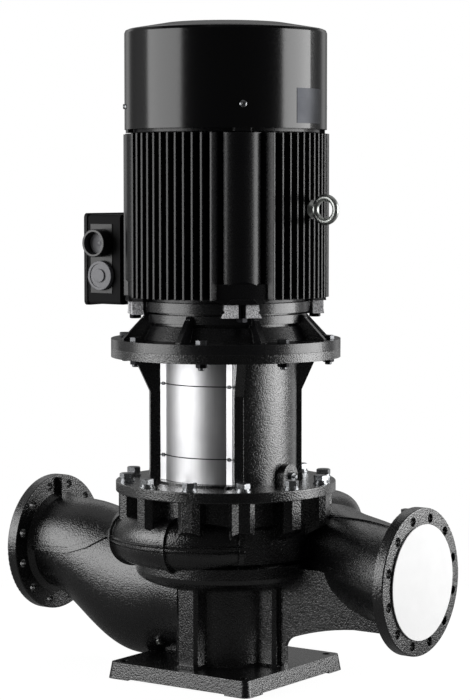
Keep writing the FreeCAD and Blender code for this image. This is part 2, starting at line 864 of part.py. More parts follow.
def lantern():
    inner = lantern_wall_radius - lantern_wall
    foot = softened(tube(lantern_foot_radius, 0, casing_top, lantern_foot_top), lantern_edge)
    foot = foot.cut(tube(lantern_bore, 0, casing_top, lantern_foot_top))
    wall = tube(lantern_wall_radius, inner, lantern_foot_top - 1, lantern_flange_bottom + 1)
    wall = wall.cut(lantern_windows())
    head = tube(motor_flange_diameter / 2, inner + 6, lantern_flange_bottom, motor_face)
    rib_start = lantern_wall_radius - 8
    rib = upright_plate([(rib_start, lantern_foot_top - 1), (rib_reach + 3, lantern_foot_top - 1),
                         (rib_reach, lantern_foot_top + 30),
                         (rib_reach, lantern_flange_bottom - gusset_drop),
                         (gusset_reach, lantern_flange_bottom + 1), (rib_start, lantern_flange_bottom + 1)],
                        rib_thickness)
    body = foot.multiFuse([wall, head, vent_boss()] + around(rib, 4, 45))
    recess = tube(spigot_diameter / 2 + fit_gap, 0, motor_face - spigot_height - 1, motor_face + 1)
    foot_hole = Part.makeCylinder((casing_bolt[0] + 2 * hole_clearance) / 2, lantern_foot_thickness + 2,
                                  point(casing_bolt_circle / 2, 0, casing_top - 1))
    head_hole = Part.makeCylinder(motor_bolt_hole / 2, lantern_top_thickness + 2,
                                  point(motor_bolt_circle / 2, 0, lantern_flange_bottom - 1))
    tools = [recess] + around(foot_hole, post_count, 180.0 / post_count)
    tools += around(head_hole, motor_bolt_count, 180.0 / motor_bolt_count)
    tools += guard_screw_bodies(small_screw[0] / 2 + fit_gap, 0)
    tools += [vent_plug_stem(fit_gap), flush_plug_stem(fit_gap)]
    return body.cut(tools)


def lantern_bolts():
    stack = washer_thickness + spring_washer_height
    one = bolt(casing_bolt, lantern_foot_thickness + stack + casing_bolt_hold)
    one = moved(one, casing_bolt_circle / 2, 0, lantern_foot_top + stack)
    return around(one, post_count, 180.0 / post_count)


def lantern_washers():
    """A flat washer and a split spring washer under each bolt head."""
    place = casing_bolt_circle / 2
    bore = casing_bolt[0] / 2 + 0.5
    flat = moved(tube(casing_bolt[0] * washer_ratio / 2, bore, 0, washer_thickness), place, 0, lantern_foot_top)
    spring = moved(tube(spring_washer_radius, bore, 0, spring_washer_height), place, 0,
                   lantern_foot_top + washer_thickness)
    split = block(place, place + 2 * spring_washer_radius, -1.5, 1.5, lantern_foot_top + washer_thickness - 1,
                  lantern_foot_top + washer_thickness + spring_washer_height + 1)
    spring = spring.cut(split)
    return around(flat, post_count, 180.0 / post_count) + around(spring, post_count, 180.0 / post_count)


def guard(side):
    """A bent sheet: a shallow half drum between two flat edges."""
    outer = guard_radius
    inner = guard_radius - guard_sheet
    near = window_face
    far = window_face + guard_sheet
    edge = guard_half_width + guard_flange
    outer_x = math.sqrt(outer ** 2 - far ** 2)
    inner_x = math.sqrt(inner ** 2 - near ** 2)
    bottom = lantern_foot_top + window_sill + guard_end_gap / 4
    top = lantern_flange_bottom - guard_end_gap / 4
    spot = [point(-edge, -far, bottom), point(-outer_x, -far, bottom), point(0, -outer, bottom),
            point(outer_x, -far, bottom), point(edge, -far, bottom), point(edge, -near, bottom),
            point(inner_x, -near, bottom), point(0, -inner, bottom), point(-inner_x, -near, bottom),
            point(-edge, -near, bottom)]
    edges = [Part.LineSegment(spot[0], spot[1]).toShape(), Part.Arc(spot[1], spot[2], spot[3]).toShape(),
             Part.LineSegment(spot[3], spot[4]).toShape(), Part.LineSegment(spot[4], spot[5]).toShape(),
             Part.LineSegment(spot[5], spot[6]).toShape(), Part.Arc(spot[6], spot[7], spot[8]).toShape(),
             Part.LineSegment(spot[8], spot[9]).toShape(), Part.LineSegment(spot[9], spot[0]).toShape()]
    sheet = Part.Face(Part.Wire(edges)).extrude(point(0, 0, top - bottom))
    tools = guard_screw_bodies(small_screw[0] / 2 + 0.3, 0)
    half = guard_groove / 2
    for height in guard_screw_heights():
        tools.append(tube(guard_radius + 1, guard_radius - guard_groove_depth, height - half, height + half))
    if side > 0:
        sheet.rotate(centre, up, 180)
    return sheet.cut(tools)


def guard_screw_heights():
    return (lantern_foot_top + guard_screw_low, lantern_flange_bottom - guard_screw_high)


def guard_screw_bodies(radius, head):
    """The shanks of the guard screws, or the screws whole when a head is asked for."""
    shapes = []
    for side in (-1, 1):
        for x in (-1, 1):
            for height in guard_screw_heights():
                place = point(x * (guard_half_width + guard_flange / 2),
                              side * (window_face + guard_sheet), height)
                shank = Part.makeCylinder(radius, 18, place, point(0, -side, 0))
                if head > 0:
                    cap = Part.makeCylinder(small_screw[1] / 2, head, place, point(0, side, 0))
                    socket = Part.makeCylinder(small_screw[1] * 0.28, head, place + point(0, side * 1.0, 0),
                                               point(0, side, 0))
                    shank = shank.fuse(cap).cut(socket)
                shapes.append(shank)
    return shapes


def guard_screws():
    return guard_screw_bodies(small_screw[0] / 2, small_screw[2])


def vent_plug_stem(grow):
    height = lantern_foot_top + vent_boss_height - vent_boss_width / 2
    return Part.makeCylinder(6 + grow, 20, point(vent_boss_reach - 20, 0, height), point(1, 0, 0))


def vent_plug():
    height = lantern_foot_top + vent_boss_height - vent_boss_width / 2
    head = hexagon(17.0, 0, 9).fuse(Part.makeCylinder(4, 8, point(0, 0, 9)))
    head.rotate(centre, point(0, 1, 0), 90)
    return moved(head, vent_boss_reach, 0, height).fuse(vent_plug_stem(0))


def flush_plug_stem(grow):
    angle = math.radians(flush_plug_angle)
    place = point(flush_plug_radius * math.cos(angle), flush_plug_radius * math.sin(angle),
                  lantern_foot_top - 18)
    return Part.makeCylinder(7 + grow, 18, place)


def flush_plug():
    angle = math.radians(flush_plug_angle)
    head = Part.makeCone(10, 7.5, 6, point(0, 0, 0))
    socket = hexagon(8.0, 2, 7)
    head = moved(head.cut(socket), flush_plug_radius * math.cos(angle),
                 flush_plug_radius * math.sin(angle), lantern_foot_top)
    return head.fuse(flush_plug_stem(0))


def drain_direction():
    return point(0, -math.cos(math.radians(drain_slope)), -math.sin(math.radians(drain_slope)))


def drain_boss(radius, start, length):
    place = point(drain_x, drain_y, drain_z) + drain_direction() * start
    return Part.makeCylinder(radius, length, place, drain_direction())


def drain_plug():
    collar = drain_boss(drain_plug_radius, drain_boss_rise, 3)
    stem = drain_boss(drain_plug_radius * 0.62, drain_boss_rise - 14, 14)
    bore = drain_boss(drain_plug_radius * 0.45, drain_boss_rise + 1, 4)
    return collar.fuse(stem).cut(bore)


def shaft_coupling():
    """The clamped coupling, as two half shells over both shaft ends."""
    body = tube(coupling_radius, pump_shaft_radius, coupling_bottom, coupling_top)
    body = body.cut(tube(shaft_radius, 0, pump_shaft_top + shaft_end_gap / 2, coupling_top + 1))
    slot = block(-100, 100, -coupling_split / 2, coupling_split / 2, coupling_bottom - 1, coupling_top + 1)
    holes = coupling_screw_set(coupling_screw_radius + fit_gap, coupling_screw_radius * 1.7)
    return body.cut([slot] + holes)


def coupling_half(side):
    box = block(-100, 100, min(0, side * 100), max(0, side * 100), coupling_bottom - 1, coupling_top + 1)
    return shaft_coupling().common(box)


def coupling_screw_set(radius, head_radius):
    """Cap screws across the joint, four on each side of the shafts."""
    shapes = []
    gap = (coupling_top - coupling_bottom) / 4
    for x in (-1, 1):
        for step in range(4):
            height = coupling_bottom + gap * (step + 0.5)
            place = point(x * (shaft_radius + 11), -coupling_radius * 0.5, height)
            shank = Part.makeCylinder(radius, coupling_radius * 0.85, place, point(0, 1, 0))
            head = Part.makeCylinder(head_radius, coupling_radius * 0.4, place, point(0, -1, 0))
            shapes.append(shank.fuse(head))
    return shapes


def coupling_screws():
    shapes = []
    for screw in coupling_screw_set(coupling_screw_radius, coupling_screw_radius * 1.6):
        shapes.append(screw.common(tube(coupling_radius, 0, coupling_bottom, coupling_top)))
    return shapes


def drive_endshield():
    """The motor's flange: a ribbed cone that ends in two rings under the frame."""
    base = motor_face
    low_ring = base + shield_lower_ring_top
    ring_foot = low_ring - shield_lower_ring_height
    spigot = spigot_diameter / 2
    hub = bearing_outer_radius + 16
    wall = shield_wall
    bearing_top = drive_bearing_bottom + bearing_width
    outline = [(shaft_radius + 1.5, base + 4), (spigot - 13, base + 4), (spigot - 13, base - spigot_height),
               (spigot, base - spigot_height), (spigot, base), (motor_flange_diameter / 2, base),
               (motor_flange_diameter / 2, motor_flange_top), (shield_cone_bottom_radius, motor_flange_top),
               (shield_cone_top_radius, ring_foot - shield_groove_height),
               (shield_groove_radius, ring_foot - shield_groove_height),
               (shield_groove_radius, ring_foot), (shield_lower_ring_radius, ring_foot),
               (shield_lower_ring_radius, low_ring), (shield_groove_radius, low_ring),
               (shield_groove_radius, frame_bottom - shield_ring_height),
               (shield_upper_ring_radius, frame_bottom - shield_ring_height),
               (shield_upper_ring_radius, frame_bottom), (frame_core_radius - 8, frame_bottom),
               (shield_groove_radius - wall, frame_bottom - 13), (shield_groove_radius - wall, base + 60),
               (shield_cone_bottom_radius - wall - 6, base + 20), (hub, base + 20), (hub, bearing_top + 7),
               (bearing_outer_radius, bearing_top + 7), (bearing_outer_radius, drive_bearing_bottom),
               (bearing_outer_radius - 10, drive_bearing_bottom), (bearing_outer_radius - 10, base + 20),
               (shaft_radius + 1.5, base + 20)]
    body = turned(outline)
    inner = shield_groove_radius - wall / 2
    rib = upright_plate([(inner, motor_flange_top - 1), (shield_rib_reach, motor_flange_top - 1),
                         (shield_rib_reach, motor_flange_top + 3),
                         (shield_rib_top_reach, low_ring - 1), (inner, low_ring - 1)],
                        shield_rib_width)
    ear = endshield_ear()
    hole = Part.makeCylinder(motor_bolt_hole / 2, motor_flange_thickness + 2,
                             point(motor_bolt_circle / 2, 0, motor_face - 1))
    parts = around(rib, shield_rib_count, shield_rib_offset) + around(ear, 4, 45)
    body = body.multiFuse(parts)
    return body.cut(around(hole, motor_bolt_count, 180.0 / motor_bolt_count))


def endshield_ear():
    """One lug with splayed sides, slotted for the bolt into the motor frame."""
    half = ear_width / 2
    start = shield_groove_radius - 4
    foot = frame_bottom - ear_height
    corners = [(half, foot), (half - 5, foot + ear_notch - 3), (half - 9, foot + ear_notch),
               (half - 6, foot + ear_notch + 6), (half - 8, frame_bottom)]
    corners += [(-y, z) for y, z in reversed(corners)]
    wire = Part.makePolygon([point(start, y, z) for y, z in corners + corners[:1]])
    lug = Part.Face(wire).extrude(point(ear_reach - start, 0, 0))
    slot = block(ear_bolt_radius_place, ear_reach + 1, -ear_slot / 2, ear_slot / 2,
                 frame_bottom - ear_height - 1, frame_bottom + 1)
    hole = Part.makeCylinder(ear_slot / 2, ear_height + 2,
                             point(ear_bolt_radius_place, 0, frame_bottom - ear_height - 1))
    return lug.cut([slot, hole])


def endshield_bolts():
    one = bolt(ear_bolt, ear_height + ear_bolt_depth)
    one.rotate(centre, point(1, 0, 0), 180)
    one = moved(one, ear_bolt_radius_place, 0, frame_bottom - ear_height)
    return around(one, 4, 45)


def motor_flange_bolts():
    grip = motor_flange_thickness + lantern_top_thickness + motor_bolt[2] + 6
    one = moved(bolt(motor_bolt, grip), motor_bolt_circle / 2, 0, motor_flange_top)
    return around(one, motor_bolt_count, 180.0 / motor_bolt_count)


def motor_flange_nuts():
    one = moved(nut(motor_bolt), motor_bolt_circle / 2, 0, lantern_flange_bottom - motor_bolt[2])
    return around(one, motor_bolt_count, 180.0 / motor_bolt_count)


def cooling_fins():
    """Parallel fins on four sides of the frame, each as long as the round outline allows."""
    fins = []
    half = fin_thickness / 2
    for side in range(4):
        for step in range(-fins_each_side, fins_each_side):
            offset = (step + 0.5) * fin_pitch
            reach = math.sqrt(fin_tip_radius ** 2 - (abs(offset) + half) ** 2)
            fin = block(frame_bore_radius * 0.7, reach, offset - half, offset + half,
                        frame_bottom + fin_start, frame_top - fin_end_gap)
            fins.append(swung(fin, 90 * side))
    return fins


def bowed_block(start, half, side_reach, reach, bottom, top):
    """An upright block with a bowed outer face, standing out from the frame along X."""
    spot = [point(start, -half, bottom), point(side_reach, -half, bottom), point(reach, 0, bottom),
            point(side_reach, half, bottom), point(start, half, bottom)]
    edges = [Part.LineSegment(spot[0], spot[1]).toShape(), Part.Arc(spot[1], spot[2], spot[3]).toShape(),
             Part.LineSegment(spot[3], spot[4]).toShape(), Part.LineSegment(spot[4], spot[0]).toShape()]
    return Part.Face(Part.Wire(edges)).extrude(point(0, 0, top - bottom))


def frame_columns():
    """The smooth rounded corners of the frame, and the lugs that the bolts enter."""
    start = frame_core_radius - 12
    bottom = frame_bottom + column_start
    column = bowed_block(start, column_half_width, column_side_reach, column_reach,
                         bottom, frame_top - fin_end_gap)
    slope = upright_plate([(start - 1, bottom - 1), (column_reach + 1, bottom - 1),
                           (column_reach + 1, bottom + 22), (column_reach - 22, bottom)],
                          3 * column_half_width)
    column = column.cut(slope)
    foot = bowed_block(start, base_block_half_width, base_block_side_reach, base_block_reach,
                       frame_bottom, frame_bottom + base_block_height)
    half = base_block_half_width
    shoulder = lug_width / 2 + 4
    cut = [(half + 1, frame_bottom - 1), (half + 1, frame_bottom + lug_height),
           (half, frame_bottom + lug_height), (shoulder, frame_bottom), (shoulder, frame_bottom - 1)]
    for side in (-1, 1):
        wire = Part.makePolygon([point(start - 1, side * y, z) for y, z in cut + cut[:1]])
        foot = foot.cut(Part.Face(wire).extrude(point(column_reach, 0, 0)))
    low = lug_width / 2
    high = lug_top_width / 2
    wire = Part.makePolygon([point(start, y, z) for y, z in
                             ((-low, frame_bottom), (low, frame_bottom), (high, frame_bottom + lug_height),
                              (-high, frame_bottom + lug_height), (-low, frame_bottom))])
    lug = Part.Face(wire).extrude(point(lug_reach - start, 0, 0))
    hole = Part.makeCylinder(ear_bolt[0] / 2 + fit_gap, ear_bolt_depth + 4,
                             point(ear_bolt_radius_place, 0, frame_bottom - 1))
    return around(column.multiFuse([foot, lug]).cut(hole), 4, 45)


def box_pad():
    return block(-box_back, -frame_core_radius + 12, -pad_half_width, pad_half_width,
                 box_centre - pad_half_height, box_centre + pad_half_height)


def eyebolt_boss():
    return Part.makeCylinder(eyebolt_boss_radius, fin_tip_radius - frame_core_radius + 12,
                             point(frame_core_radius - 12, 0, eyebolt_height), point(1, 0, 0))


def motor_frame():
    core = tube(frame_core_radius, 0, frame_bottom, frame_top)
    body = core.multiFuse(cooling_fins() + frame_columns() + [box_pad(), eyebolt_boss()])
    ring_bore = tube(frame_bore_radius, 0, frame_bottom - 1, frame_top + 1)
    shank = Part.makeCylinder(eyebolt_shank_radius + fit_gap, 40,
                              point(fin_tip_radius - 40, 0, eyebolt_height), point(1, 0, 0))
    half_width = box_width / 2 + lid_margin
    half_height = box_height / 2 + lid_margin
    room = block(-fin_tip_radius - 1, -box_back + box_gap, -half_width, half_width,
                 box_centre - half_height, box_centre + half_height)
    room = room.cut(box_pad())
    return body.cut([ring_bore, shank, room])


def stator_core():
    return tube(frame_bore_radius, stator_bore_radius, stack_bottom, stack_top)


def stator_windings():
    """The two rounded coil heads, above and below the core."""
    low = stator_bore_radius + 6
    high = frame_bore_radius - 12
    rings = []
    for start, way in ((stack_bottom, -1), (stack_top, 1)):
        tip = start + way * winding_overhang
        rings.append(turned([(low, start), (high, start), (high + 2, start + way * winding_overhang / 2),
                             (high - 10, tip), (low + 8, tip), (low, tip - way * 10)]))
    return rings


def rotor_core():
    """The laminated rotor with its two cast end rings."""
    outer = stator_bore_radius - air_gap
    ring = 22.0
    return turned([(shaft_body_radius, stack_bottom), (outer - 30, stack_bottom),
                   (outer - 30, stack_bottom - ring), (outer - 5, stack_bottom - ring),
                   (outer, stack_bottom), (outer, stack_top),
                   (outer - 5, stack_top + ring), (outer - 30, stack_top + ring), (outer - 30, stack_top),
                   (shaft_body_radius, stack_top)])


def motor_shaft():
    bottom = motor_face - motor_shaft_drop
    fan_end = fan_bearing_bottom + bearing_width
    return turned([(0, bottom), (shaft_radius, bottom), (shaft_radius, drive_bearing_bottom + bearing_width),
                   (shaft_body_radius, drive_bearing_bottom + bearing_width),
                   (shaft_body_radius, fan_bearing_bottom), (shaft_radius, fan_bearing_bottom),
                   (shaft_radius, fan_end), (fan_seat_radius, fan_end),
                   (fan_seat_radius, fan_end + fan_seat_length), (0, fan_end + fan_seat_length)])


def bearing_outer(bottom):
    """The outer ring of a shielded bearing, with its two side shields."""
    top = bottom + bearing_width
    outer = bearing_outer_radius
    wall = bearing_outer_radius - bearing_ring
    shield = shaft_radius + bearing_ring + 0.5
    return turned([(shield, bottom), (outer, bottom), (outer, top), (shield, top), (shield, top - 2),
                   (wall, top - 2), (wall, bottom + 2), (shield, bottom + 2)])


def bearing_inner(bottom):
    return tube(shaft_radius + bearing_ring, shaft_radius, bottom, bottom + bearing_width)


def drive_bearing_cap():
    bottom = drive_bearing_bottom + bearing_width
    return turned([(shaft_body_radius + 1.5, bottom + 2), (bearing_outer_radius - 6, bottom + 2),
                   (bearing_outer_radius - 6, bottom), (bearing_outer_radius - fit_gap, bottom),
                   (bearing_outer_radius - fit_gap, bottom + 7), (bearing_outer_radius + 16, bottom + 7),
                   (bearing_outer_radius + 16, bottom + 15), (shaft_body_radius + 1.5, bottom + 15)])


def rear_endshield():
    """The upper bearing shield, with four posts that the fan cowl is screwed to."""
    hub = bearing_outer_radius + 14
    low = fan_bearing_bottom
    high = frame_top + rear_shield_thickness
    lip = frame_bore_radius - fit_gap
    body = turned([(bearing_outer_radius, low), (hub, low), (hub, frame_top - 8), (lip, frame_top - 8),
                   (lip, frame_top), (rear_shield_radius, frame_top),
                   (rear_shield_radius, high), (shaft_radius + 1.5, high),
                   (shaft_radius + 1.5, low + bearing_width), (bearing_outer_radius, low + bearing_width)])
    reach = cowl_radius - cowl_sheet - fit_gap
    half = cowl_post_width / 2
    side_reach = math.sqrt(reach ** 2 - half ** 2)
    post_start = rear_shield_radius - 26
    post = block(post_start, side_reach, -half, half, frame_top, cowl_screw_height() + 18)
    body = body.multiFuse(around(post, 4, 45))
    tap = Part.makeCylinder(3 + fit_gap, 22, point(cowl_radius - 22, 0, cowl_screw_height()), point(1, 0, 0))
    holes = around(tap, 4, 45)
    holes += around(Part.makeCylinder(4.5, 30, point(frame_core_radius - 8, 0, frame_top - 9)), 4, 22.5)
    return body.cut(holes)


def cowl_screw_height():
    return cowl_bottom + cowl_screw_drop


def cowl_screws():
    start = point(cowl_radius, 0, cowl_screw_height())
    way = point(1, 0, 0)
    shank = Part.makeCylinder(3, 20, start - way * 20, way)
    washer = Part.makeCone(cowl_washer_radius, cowl_washer_radius - 1.5, 1.5, start, way)
    head = softened(Part.makeCylinder(6, 5, start, way), 1.2)
    socket = hexagon(5.0, 0, 3)
    socket.rotate(centre, point(0, 1, 0), 90)
    socket.translate(start + way * 2.5)
    return around(shank.multiFuse([washer, head]).cut(socket), 4, 45)


def fan():
    """A radial fan: a hub, a disc and straight vanes."""
    bottom = fan_bottom
    hub = fan_seat_radius + 16
    disc = turned([(fan_seat_radius, bottom), (hub, bottom), (hub, bottom + 30), (fan_radius, bottom + 46),
                   (fan_radius, bottom + 50), (hub, bottom + 36), (hub, bottom + fan_hub_length),
                   (fan_seat_radius, bottom + fan_hub_length)])
    vane = upright_plate([(hub - 4, bottom + 4), (fan_radius - 14, bottom + 4),
                          (fan_radius - 6, bottom + 47), (hub - 4, bottom + 33)], fan_vane)
    return fused([disc] + around(vane, fan_blades, 0))


def fan_clip():
    bottom = fan_bottom + fan_hub_length
    return tube(fan_seat_radius + 6, fan_seat_radius, bottom, bottom + 3)


def cowl_grille():
    """Rings of arc slots in the top of the cowl, with radial bars between them."""
    bars = []
    for step in range(4):
        bars.append(swung(block(-cowl_radius, cowl_radius, -grille_bar / 2, grille_bar / 2,
                                cowl_top - 40, cowl_top + 10), 45 * step))
    slots = []
    for step in range(grille_rings):
        radius = grille_first_radius + grille_ring_pitch * step
        slots.append(tube(radius + grille_slot / 2, radius - grille_slot / 2, cowl_top - 40, cowl_top + 10))
    return [slot.cut(bars) for slot in slots]


def fan_cowl():
    radius = cowl_radius
    sheet = cowl_sheet
    rim = cowl_top - cowl_dome
    bend = cowl_rim_radius
    crown = cowl_crown_radius
    outer = [(radius, cowl_bottom), (radius, rim - bend), (radius - bend * 0.3, rim - bend * 0.3),
             (radius - bend, rim), (crown, cowl_top), (0, cowl_top)]
    inner = [(0, cowl_top - sheet), (crown, cowl_top - sheet), (radius - bend - sheet * 0.3, rim - sheet),
             (radius - sheet - bend * 0.3, rim - sheet - bend * 0.4), (radius - sheet, rim - bend - sheet),
             (radius - sheet, cowl_bottom)]
    shell = turned(outer + inner)
    hole = Part.makeCylinder(3.3, 20, point(radius - 15, 0, cowl_screw_height()), point(1, 0, 0))
    return shell.cut(cowl_grille() + around(hole, 4, 45))


def rating_plate():
    """A blank plate that follows the cowl's curve, on the discharge side."""
    bottom = cowl_bottom + 12
    band = tube(cowl_radius + plate_thickness, cowl_radius, bottom, bottom + plate_height)
    return band.common(block(0, 400, -plate_width / 2, plate_width / 2, cowl_bottom, cowl_top))


def rounded_block(x0, x1, half_width, half_height, corner):
    """A block whose section across X has rounded corners, centred on the terminal box."""
    solid = block(x0, x1, -half_width, half_width, box_centre - half_height, box_centre + half_height)
    long_edges = [edge for edge in solid.Edges if abs(edge.tangentAt(edge.FirstParameter).x) > 0.9]
    return solid.makeFillet(corner, long_edges)


def box_entry_x():
    return -(box_back + box_depth - gland_setback - 16)


def entry_hole(radius, height):
    start = point(box_entry_x(), -box_width / 2 + box_wall + 3, box_centre + height)
    return Part.makeCylinder(radius, box_wall + entry_plate_rise + 6, start, point(0, -1, 0))


def terminal_box():
    half_width = box_width / 2
    half_height = box_height / 2
    front = -box_back - box_depth
    body = rounded_block(front, -box_back, half_width, half_height, box_corner)
    hollow = rounded_block(front - 1, -box_back - box_wall, half_width - box_wall, half_height - box_wall,
                           box_corner - box_wall / 2)
    body = body.cut(hollow)
    entry = block(box_entry_x() - 36, box_entry_x() + 30, -half_width - entry_plate_rise, -half_width + 1,
                  box_centre - 82, box_centre + 86)
    posts = []
    for y in (-1, 1):
        for z in (-1, 1):
            y0 = y * (half_width - 12)
            z0 = box_centre + z * (half_height - 12)
            posts.append(Part.makeCylinder(7, box_depth - 10, point(-box_back - 5, y0, z0), point(-1, 0, 0)))
    body = body.multiFuse([entry] + posts)
    holes = [entry_hole(gland_thread_radius, gland_high), entry_hole(gland_thread_radius, gland_low)]
    holes += lid_screw_bodies(2.5 + fit_gap, 0)
    return body.cut(holes)


def lid_screw_bodies(radius, head):
    half_width = box_width / 2
    half_height = box_height / 2
    front = -box_back - box_depth - gasket_thickness - lid_thickness
    shapes = []
    for y in (-1, 1):
        for z in (-1, 1):
            place = point(front, y * (half_width - 12), box_centre + z * (half_height - 12))
            shank = Part.makeCylinder(radius, 32, place, point(1, 0, 0))
            if head > 0:
                cap = Part.makeCylinder(small_screw[1] / 2, head, place, point(-1, 0, 0))
                socket = Part.makeCylinder(small_screw[1] * 0.28, head, place + point(-1.0, 0, 0),
                                           point(-1, 0, 0))
                shank = shank.fuse(cap).cut(socket)
            shapes.append(shank)
    return shapes


def lid_screws():
    return lid_screw_bodies(2.5, small_screw[2])


def box_gasket():
    front = -box_back - box_depth
    half_width = box_width / 2
    half_height = box_height / 2
    ring = rounded_block(front - gasket_thickness, front, half_width, half_height, box_corner)
    hole = rounded_block(front - 3, front + 1, half_width - box_wall, half_height - box_wall,
                         box_corner - box_wall / 2)
    return ring.cut([hole] + lid_screw_bodies(2.5 + fit_gap, 0))


def box_lid():
    back = -box_back - box_depth - gasket_thickness
    half_width = box_width / 2 + lid_margin
    half_height = box_height / 2 + lid_margin
    lid = rounded_block(back - lid_thickness, back, half_width, half_height, box_corner + 1)
    hollow = rounded_block(back - lid_thickness + 4, back + 1, half_width - lid_margin - 22,
                           half_height - lid_margin - 22, 5)
    return lid.cut([hollow] + lid_screw_bodies(2.5 + fit_gap, 0))


def terminal_board():
    front = -box_back - box_wall
    return block(front - 14, front, -38, 38, box_centre - 48, box_centre + 48)


def terminal_studs():
    front = -box_back - box_wall - 14
    studs = []
    for y in (-1, 0, 1):
        for z in (-1, 1):
            place = point(front, y * 24, box_centre + z * 22)
            stud = Part.makeCylinder(3, 22, place, point(-1, 0, 0))
            grip = hexagon(10, 0, 5)
            grip.rotate(centre, point(0, 1, 0), -90)
            grip.translate(place)
            studs.append(stud.fuse(grip))
    return studs


def cable_gland():
    """An empty gland: a thick open ring whose thread passes through the box wall."""
    start = -box_width / 2 - entry_plate_rise
    place = point(box_entry_x(), start, box_centre + gland_high)
    out = point(0, -1, 0)
    ring = softened(Part.makeCylinder(gland_outer_radius, gland_length, place, out), 2.5)
    waist = place + out * gland_length * 0.45
    groove = Part.makeCylinder(gland_outer_radius + 1, 2.5, waist, out)
    groove = groove.cut(Part.makeCylinder(gland_outer_radius - 1.5, 2.5, waist, out))
    ring = ring.cut(groove)
    thread = Part.makeCylinder(gland_thread_radius - fit_gap, 16, place, point(0, 1, 0))
    bore = Part.makeCylinder(gland_bore_radius, gland_length + 20, place + point(0, 18, 0), point(0, -1, 0))
    return ring.fuse(thread).cut(bore)


def gland_locknut():
    place = point(box_entry_x(), -box_width / 2 + box_wall, box_centre + gland_high)
    body = Part.makeCylinder(gland_outer_radius + 2, 6, place, point(0, 1, 0))
    return body.cut(Part.makeCylinder(gland_thread_radius, 8, place + point(0, -1, 0), point(0, 1, 0)))


def entry_plug():
    start = -box_width / 2 - entry_plate_rise
    place = point(box_entry_x(), start, box_centre + gland_low)
    out = point(0, -1, 0)
    cap = softened(Part.makeCylinder(plug_radius, plug_height, place, out), 2.0)
    dish = Part.makeCylinder(plug_radius - 7, 2.0, place + out * (plug_height - 2.0), out)
    boss = softened(Part.makeCylinder(plug_radius * 0.45, plug_height + 2.0, place, out), 1.5)
    thread = Part.makeCylinder(gland_thread_radius - fit_gap, 14, place, point(0, 1, 0))
    return cap.cut(dish).multiFuse([boss, thread])


def eyebolt():
    ring = Part.makeTorus(eyebolt_ring_radius, eyebolt_bar_radius, point(eyebolt_reach, 0, eyebolt_height),
                          point(0, 1, 0))
    collar = Part.makeCone(20, 13, 10, point(fin_tip_radius, 0, eyebolt_height), point(1, 0, 0))
    shank = Part.makeCylinder(eyebolt_shank_radius, 36, point(fin_tip_radius - 36, 0, eyebolt_height),
                              point(1, 0, 0))
    return ring.fuse(collar).fuse(shank)


def discharge_cover():
    start = point(face_to_face / 2, 0, port_height)
    return Part.makeCylinder(cover_disc_diameter / 2, cover_disc_thickness, start, point(1, 0, 0))


if __name__ == "__main__":
    os.makedirs("parts", exist_ok=True)
    pieces = {
        "pump_casing": pump_casing, "casing_wear_ring": casing_wear_ring, "impeller": impeller,
        "impeller_nut": impeller_nut, "pump_shaft": pump_shaft, "seal_cover": seal_cover,
        "cover_gasket": cover_gasket, "seal_seat": seal_seat, "seal_ring": seal_ring,
        "seal_bellows": seal_bellows, "lantern": lantern, "lantern_bolts": lantern_bolts,
        "lantern_washers": lantern_washers, "guard_screws": guard_screws, "vent_plug": vent_plug,
        "flush_plug": flush_plug, "drain_plug": drain_plug, "coupling_screws": coupling_screws,
        "drive_endshield": drive_endshield, "endshield_bolts": endshield_bolts,
        "motor_flange_bolts": motor_flange_bolts, "motor_flange_nuts": motor_flange_nuts,
        "motor_frame": motor_frame, "stator_core": stator_core, "stator_windings": stator_windings,
        "rotor_core": rotor_core, "motor_shaft": motor_shaft, "drive_bearing_cap": drive_bearing_cap,
        "rear_endshield": rear_endshield, "cowl_screws": cowl_screws, "cooling_fan": fan,
        "fan_clip": fan_clip, "fan_cowl": fan_cowl, "rating_plate": rating_plate,
        "terminal_box": terminal_box, "box_gasket": box_gasket, "box_lid": box_lid,
        "lid_screws": lid_screws, "terminal_board": terminal_board, "terminal_studs": terminal_studs,
        "cable_gland": cable_gland, "gland_locknut": gland_locknut, "entry_plug": entry_plug,
        "eyebolt": eyebolt, "discharge_cover": discharge_cover,
    }
    for name, make in pieces.items():
        save(name, make())
    save("guard_front", guard(-1))
    save("guard_rear", guard(1))
    save("coupling_half_front", coupling_half(-1))
    save("coupling_half_rear", coupling_half(1))
    save("drive_bearing_outer", bearing_outer(drive_bearing_bottom))
    save("drive_bearing_inner", bearing_inner(drive_bearing_bottom))
    save("fan_bearing_outer", bearing_outer(fan_bearing_bottom))
    save("fan_bearing_inner", bearing_inner(fan_bearing_bottom))
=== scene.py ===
import bpy
import math
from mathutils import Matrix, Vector


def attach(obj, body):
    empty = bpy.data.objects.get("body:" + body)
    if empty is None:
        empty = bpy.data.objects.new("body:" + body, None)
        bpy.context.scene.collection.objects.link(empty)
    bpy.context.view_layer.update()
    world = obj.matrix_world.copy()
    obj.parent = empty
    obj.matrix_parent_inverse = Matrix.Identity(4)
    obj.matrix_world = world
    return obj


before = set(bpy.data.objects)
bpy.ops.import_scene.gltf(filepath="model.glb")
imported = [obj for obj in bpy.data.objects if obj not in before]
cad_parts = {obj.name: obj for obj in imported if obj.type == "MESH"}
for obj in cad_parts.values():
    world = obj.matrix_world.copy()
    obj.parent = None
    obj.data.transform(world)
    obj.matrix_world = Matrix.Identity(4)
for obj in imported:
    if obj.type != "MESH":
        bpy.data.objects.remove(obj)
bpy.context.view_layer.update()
print("frame loaded:", len(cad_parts), "nodes")

millimetre = 0.001
white = (1.0, 1.0, 1.0, 1.0)
# the Mix node's sockets share their names, so they go by number: its factor, then the two ends and the result
# for numbers and for colours
mixFactor = 0
numberA, numberB, numberOut = 2, 3, 0
colourA, colourB, colourOut = 6, 7, 2


